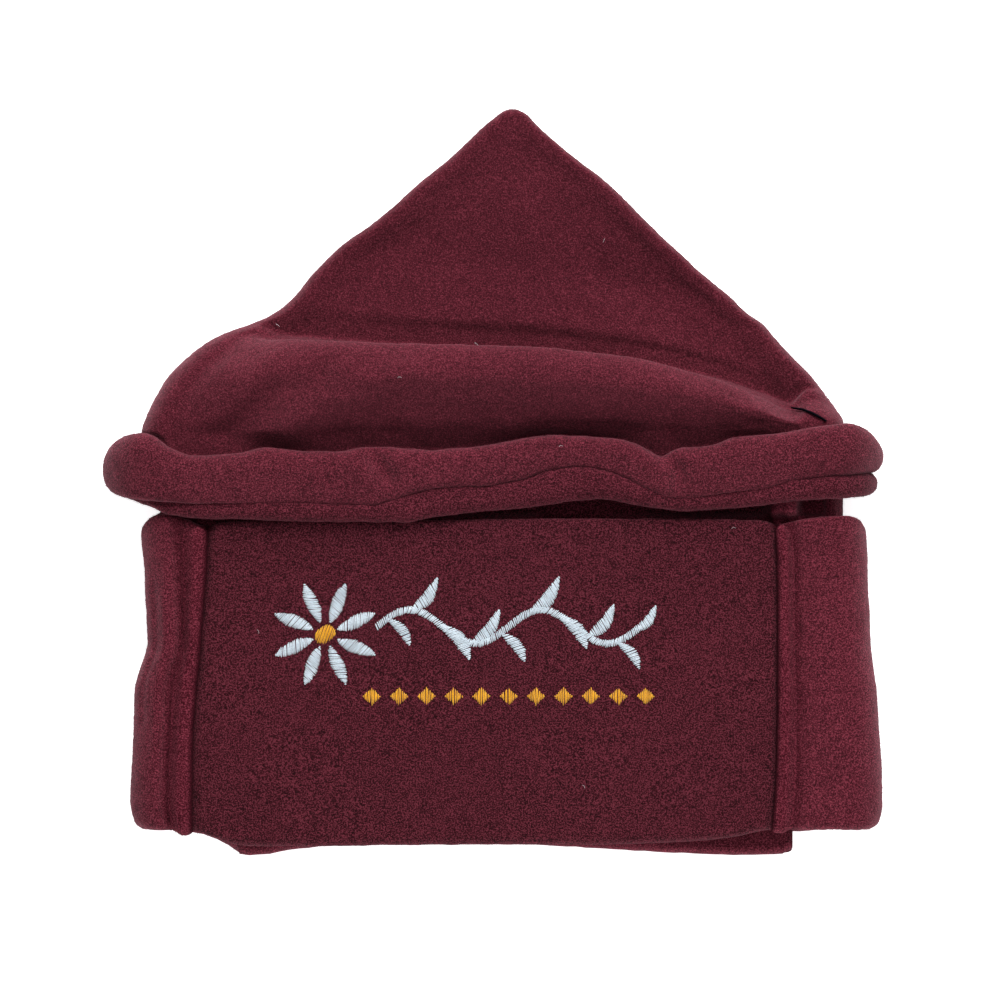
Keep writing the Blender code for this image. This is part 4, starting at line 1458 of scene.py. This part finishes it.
# Loose ends lying on the cloth: places in millimetres across and up the hat
BLACK_END = (
    (110.6, 106.8),
    (114.9, 106.1),
    (118.4, 104.7),
    (121.6, 103.0),
    (124.1, 101.4),
)
LINT = (
    (-88.7, 138.8),
    (-11.5, 131.2),
    (21.1, 91.6),
    (38.0, 172.0),
    (-41.0, 118.0),
    (-96.0, 20.0),
    (30.0, -40.0),
    (88.0, 60.0),
)
BLACK_RADIUS = 0.51 * MM
BLACK_STATIONS = 25
BLACK_SIDES = 8
# The black end's height is evened out over this many stations, and its ends taper to these shares
BLACK_EVENED = 7
BLACK_TAPER = (0.04, 0.96)
LINT_RADIUS = 0.06 * MM
LINT_LENGTH = 1.5 * MM
LINT_STATIONS = 9
LINT_SIDES = 5
LINT_CURL = 0.3
LINT_CURL_WAVES = 3
# How far a fibre's middle lies above the cloth, in its radii
LINT_LIFT = 3
LINT_SEED = 5


def read_all(items, name, size=1):
    """One property of all of a mesh's vertices or faces, with as many columns as it has numbers."""
    values = np.empty(len(items) * size)
    items.foreach_get(name, values)
    return values.reshape(-1, size) if size > 1 else values


def resting_height(points, x, y):
    """Height of the topmost vertex near a place."""
    near = np.hypot(points[:, 0] - x, points[:, 1] - y) < NAP_STEP
    return points[near, 2].max() if near.any() else 0.0


def make_loose_ends(pieces):
    """One black end of thread by the crown's right fold and a few short pale fibres."""
    cloth = np.concatenate([read_all(piece.data.vertices, "co", 3) for piece in pieces])
    places = np.array(BLACK_END) * MM
    share = np.linspace(0, len(places) - 1, BLACK_STATIONS)
    x = np.interp(share, np.arange(len(places)), places[:, 0])
    y = np.interp(share, np.arange(len(places)), places[:, 1])
    z = np.array([resting_height(cloth, *at) for at in zip(x, y)])
    evened = np.pad(z, BLACK_EVENED // 2, mode="edge")
    z = np.convolve(evened, np.ones(BLACK_EVENED) / BLACK_EVENED, mode="valid") + BLACK_RADIUS
    radius = BLACK_RADIUS * np.sqrt(np.sin(pi * np.linspace(*BLACK_TAPER, len(share))))[None] ** 0.5
    black = tubes("thread_end", np.stack([x, y, z], -1)[None], radius, BLACK_SIDES)
    black.data.materials.append(thread_finish("black_thread", *BLACK_THREAD, 0.0))
    rng = np.random.default_rng(LINT_SEED)
    lines = []
    for x, y in np.array(LINT) * MM:
        angle = rng.uniform(0, 2 * pi)
        t = np.linspace(-0.5, 0.5, LINT_STATIONS)
        curl = LINT_CURL * np.cos(LINT_CURL_WAVES * t + angle)
        turned = np.array([[np.cos(angle), np.sin(angle)], [-np.sin(angle), np.cos(angle)]])
        across = LINT_LENGTH * np.stack([t, curl], -1) @ turned
        lift = resting_height(cloth, x, y) + LINT_LIFT * LINT_RADIUS
        lines.append(np.concatenate([across + [x, y], np.full((LINT_STATIONS, 1), lift)], -1))
    lint = tubes("lint", np.stack(lines), np.full((len(lines), LINT_STATIONS), LINT_RADIUS), LINT_SIDES)
    lint.data.materials.append(thread_finish("pale_lint", *PALE_LINT))
    for piece in (black, lint):
        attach(piece, BODY)


# Single fibres of the nap: how long, how thick and how far they lean, and how deep their roots are
FIBRE_LENGTH = 1.1 * MM
FIBRE_LENGTHS = (0.4, 1.3)
FIBRE_RADIUS = 0.045 * MM
FIBRE_LEAN = 0.9
FIBRE_STRAY = 0.7
FIBRE_ROOT = 0.1 * MM
# They stand off the cloth by this much of their way, and none grows on cloth that faces down or lies low
FIBRE_CLEAR = 0.25
FIBRE_FACING = -0.35
FIBRE_LOWEST = 1.5 * MM
# How many fewer fibres a full crease has, and the part of a face's area that their roots scatter over
FIBRE_CREASED = 0.95
FIBRE_SCATTER = 1 / 8


def face_darkening(mesh):
    """How far each face is darkened by the crease attribute, painted shade in creases and grooves, read at
    its first corner; 0 on a cloth without it.
    """
    if "crease" not in mesh.attributes:
        return 0.0
    depth = read_all(mesh.attributes["crease"].data, "value")
    corner = read_all(mesh.loops, "vertex_index").astype(int)
    first = read_all(mesh.polygons, "loop_start").astype(int)
    return np.clip(depth[corner[first]], 0, 1)


def nap_piece(cloth_piece, material, count, seed):
    """Single fibres as thin three-sided spikes, rooted at random in the side of the cloth that shows.

    Each face has them in proportion to its area, fewer in a crease and none on a strip's closed end.
    """
    rng = np.random.default_rng(seed)
    faces = cloth_piece.data.polygons
    middle = read_all(faces, "center", 3)
    normal = read_all(faces, "normal", 3)
    four_sided = read_all(faces, "loop_total") <= 4
    area = read_all(faces, "area")
    area = area * (normal[:, 2] > FIBRE_FACING) * (middle[:, 2] > FIBRE_LOWEST)
    area = area * (1 - FIBRE_CREASED * face_darkening(cloth_piece.data)) * four_sided
    pick = rng.choice(len(area), count, p=area / area.sum())
    out = normal[pick]
    stray = rng.normal(0, 1, (count, 3))
    aside = stray - (stray * out).sum(-1, keepdims=True) * out
    root = middle[pick] + aside * np.sqrt(area[pick] * FIBRE_SCATTER)[:, None] - FIBRE_ROOT * out
    way = unit(out + FIBRE_LEAN * rng.normal(0, FIBRE_STRAY, (count, 3)))
    way = way + np.maximum(FIBRE_CLEAR - (way * out).sum(-1, keepdims=True), 0) * out
    aside = unit(np.cross(way, stray))
    above = np.cross(way, aside)
    angle = np.arange(3) * 2 * pi / 3
    ring = aside[:, None] * np.cos(angle)[:, None] + above[:, None] * np.sin(angle)[:, None]
    tip = root + way * FIBRE_LENGTH * rng.uniform(*FIBRE_LENGTHS, (count, 1))
    corners = np.concatenate([root[:, None] + FIBRE_RADIUS * ring, tip[:, None]], 1)
    spike = np.array([[0, 2, 1], [0, 1, 3], [1, 2, 3], [2, 0, 3]])
    faces = (spike[None] + 4 * np.arange(count)[:, None, None]).reshape(-1, 3)
    mesh = bpy.data.meshes.new(cloth_piece.name + "_nap")
    mesh.from_pydata(corners.reshape(-1, 3).tolist(), [], faces.tolist())
    mesh.update()
    dress(placed(mesh.name, mesh), material)


# Single fibres of each piece, and the fleece they are of
NAP_COUNTS = {
    "front_panel_cloth": ("front", 42000),
    "left_side_panel_cloth": ("side", 12000),
    "right_side_panel_cloth": ("side", 12000),
    "back_panel_cloth": ("side", 3000),
    "front_left_welt_cloth": ("welt", 2500),
    "front_right_welt_cloth": ("welt", 1700),
    "crown_roll_cloth": ("roll", 26000),
    "band_roll_cloth": ("lower_roll", 12000),
    "crown_cloth": ("crown", 42000),
}

# The floor's half side, how far it lies under the hat, its colour and its own light, which keep it white
FLOOR_SIZE = 1.6
FLOOR_DROP = 0.2 * MM
FLOOR_WHITE = (0.93, 0.93, 0.93, 1.0)
FLOOR_GLOW = 0.9

# Place, side and power of each square light, all aimed at one point
LIGHTS = {
    "key": ((0.16, 1.35, 0.82), 0.9, 40.0),
    "top": ((0.0, 0.1, 1.6), 1.2, 2.0),
    "fill": ((0.1, -1.15, 0.28), 0.8, 14.0),
}
LIGHT_AIM = (0, 0.06, 0)
ROOM_COLOUR = (0.93, 0.96, 1.0, 1.0)
ROOM_LIGHT = 0.28


def make_stage():
    """A plain white floor just under the hat."""
    mesh = bpy.data.meshes.new("floor")
    corners = [(x * FLOOR_SIZE, y * FLOOR_SIZE, 0) for x, y in ((-1, -1), (1, -1), (1, 1), (-1, 1))]
    mesh.from_pydata(corners, [], [(0, 1, 2, 3)])
    floor = placed("floor", mesh)
    floor.location.z = -FLOOR_DROP
    shader = Shader("white_paper")
    glow = {"Emission Color": FLOOR_WHITE, "Emission Strength": FLOOR_GLOW}
    shader.fill(shader.surface, {"Base Color": FLOOR_WHITE, "Roughness": 0.9, **glow})
    floor.data.materials.append(shader.material)


def add_light(name, place, size, power):
    """A square area light turned towards the point that all of them are aimed at."""
    data = bpy.data.lights.new(name, "AREA")
    data.shape = "SQUARE"
    data.size = size
    data.energy = power
    light = placed(name, data)
    light.location = place
    light.rotation_euler = (Vector(LIGHT_AIM) - Vector(place)).to_track_quat("-Z", "Y").to_euler()


def make_light():
    """A broad key low beyond the crown's tip, weak ones above and before the mouth, and a pale room."""
    for name, settings in LIGHTS.items():
        add_light(name, *settings)
    world = bpy.data.worlds.new("room")
    bpy.context.scene.world = world
    world.use_nodes = True
    background = world.node_tree.nodes["Background"]
    background.inputs["Color"].default_value = ROOM_COLOUR
    background.inputs["Strength"].default_value = ROOM_LIGHT


# The photo's frame: its side in pixels, the size of a pixel and the pixel at the frame's origin
PHOTO_SIDE = 1000
PIXEL = 0.39 * MM
ORIGIN_PIXEL = (506, 682)
CAMERA_HEIGHT = 3.0
SENSOR = 36.0
FARTHEST = 20.0


def make_camera():
    """Straight above, far enough off that near folds look no larger than the photo shows them."""
    data = bpy.data.cameras.new("camera")
    data.sensor_width = SENSOR
    data.lens = SENSOR * CAMERA_HEIGHT / (PHOTO_SIDE * PIXEL)
    data.clip_end = FARTHEST
    camera = placed("camera", data)
    across = (PHOTO_SIDE / 2 - ORIGIN_PIXEL[0]) * PIXEL
    camera.location = (across, (ORIGIN_PIXEL[1] - PHOTO_SIDE / 2) * PIXEL, CAMERA_HEIGHT)
    bpy.context.scene.camera = camera
    bpy.context.scene.view_settings.view_transform = "Standard"


make_camera()
make_light()
make_stage()
cloths = {name: fleece(name + "_fleece", *look) for name, look in FLEECES.items()}
make_band(cloths)
make_welts(cloths["welt"])
make_rim(cloths)
dress(crown_piece("crown_cloth", SEEDS["crown"]), cloths["crown"], "crown")
pieces = bpy.data.objects
make_ornament()
make_loose_ends([pieces[name] for name in ("crown_cloth", "crown_roll_cloth", "front_panel_cloth")])
for name, (cloth, count) in NAP_COUNTS.items():
    nap_piece(pieces[name], cloths[cloth], count, len(name))
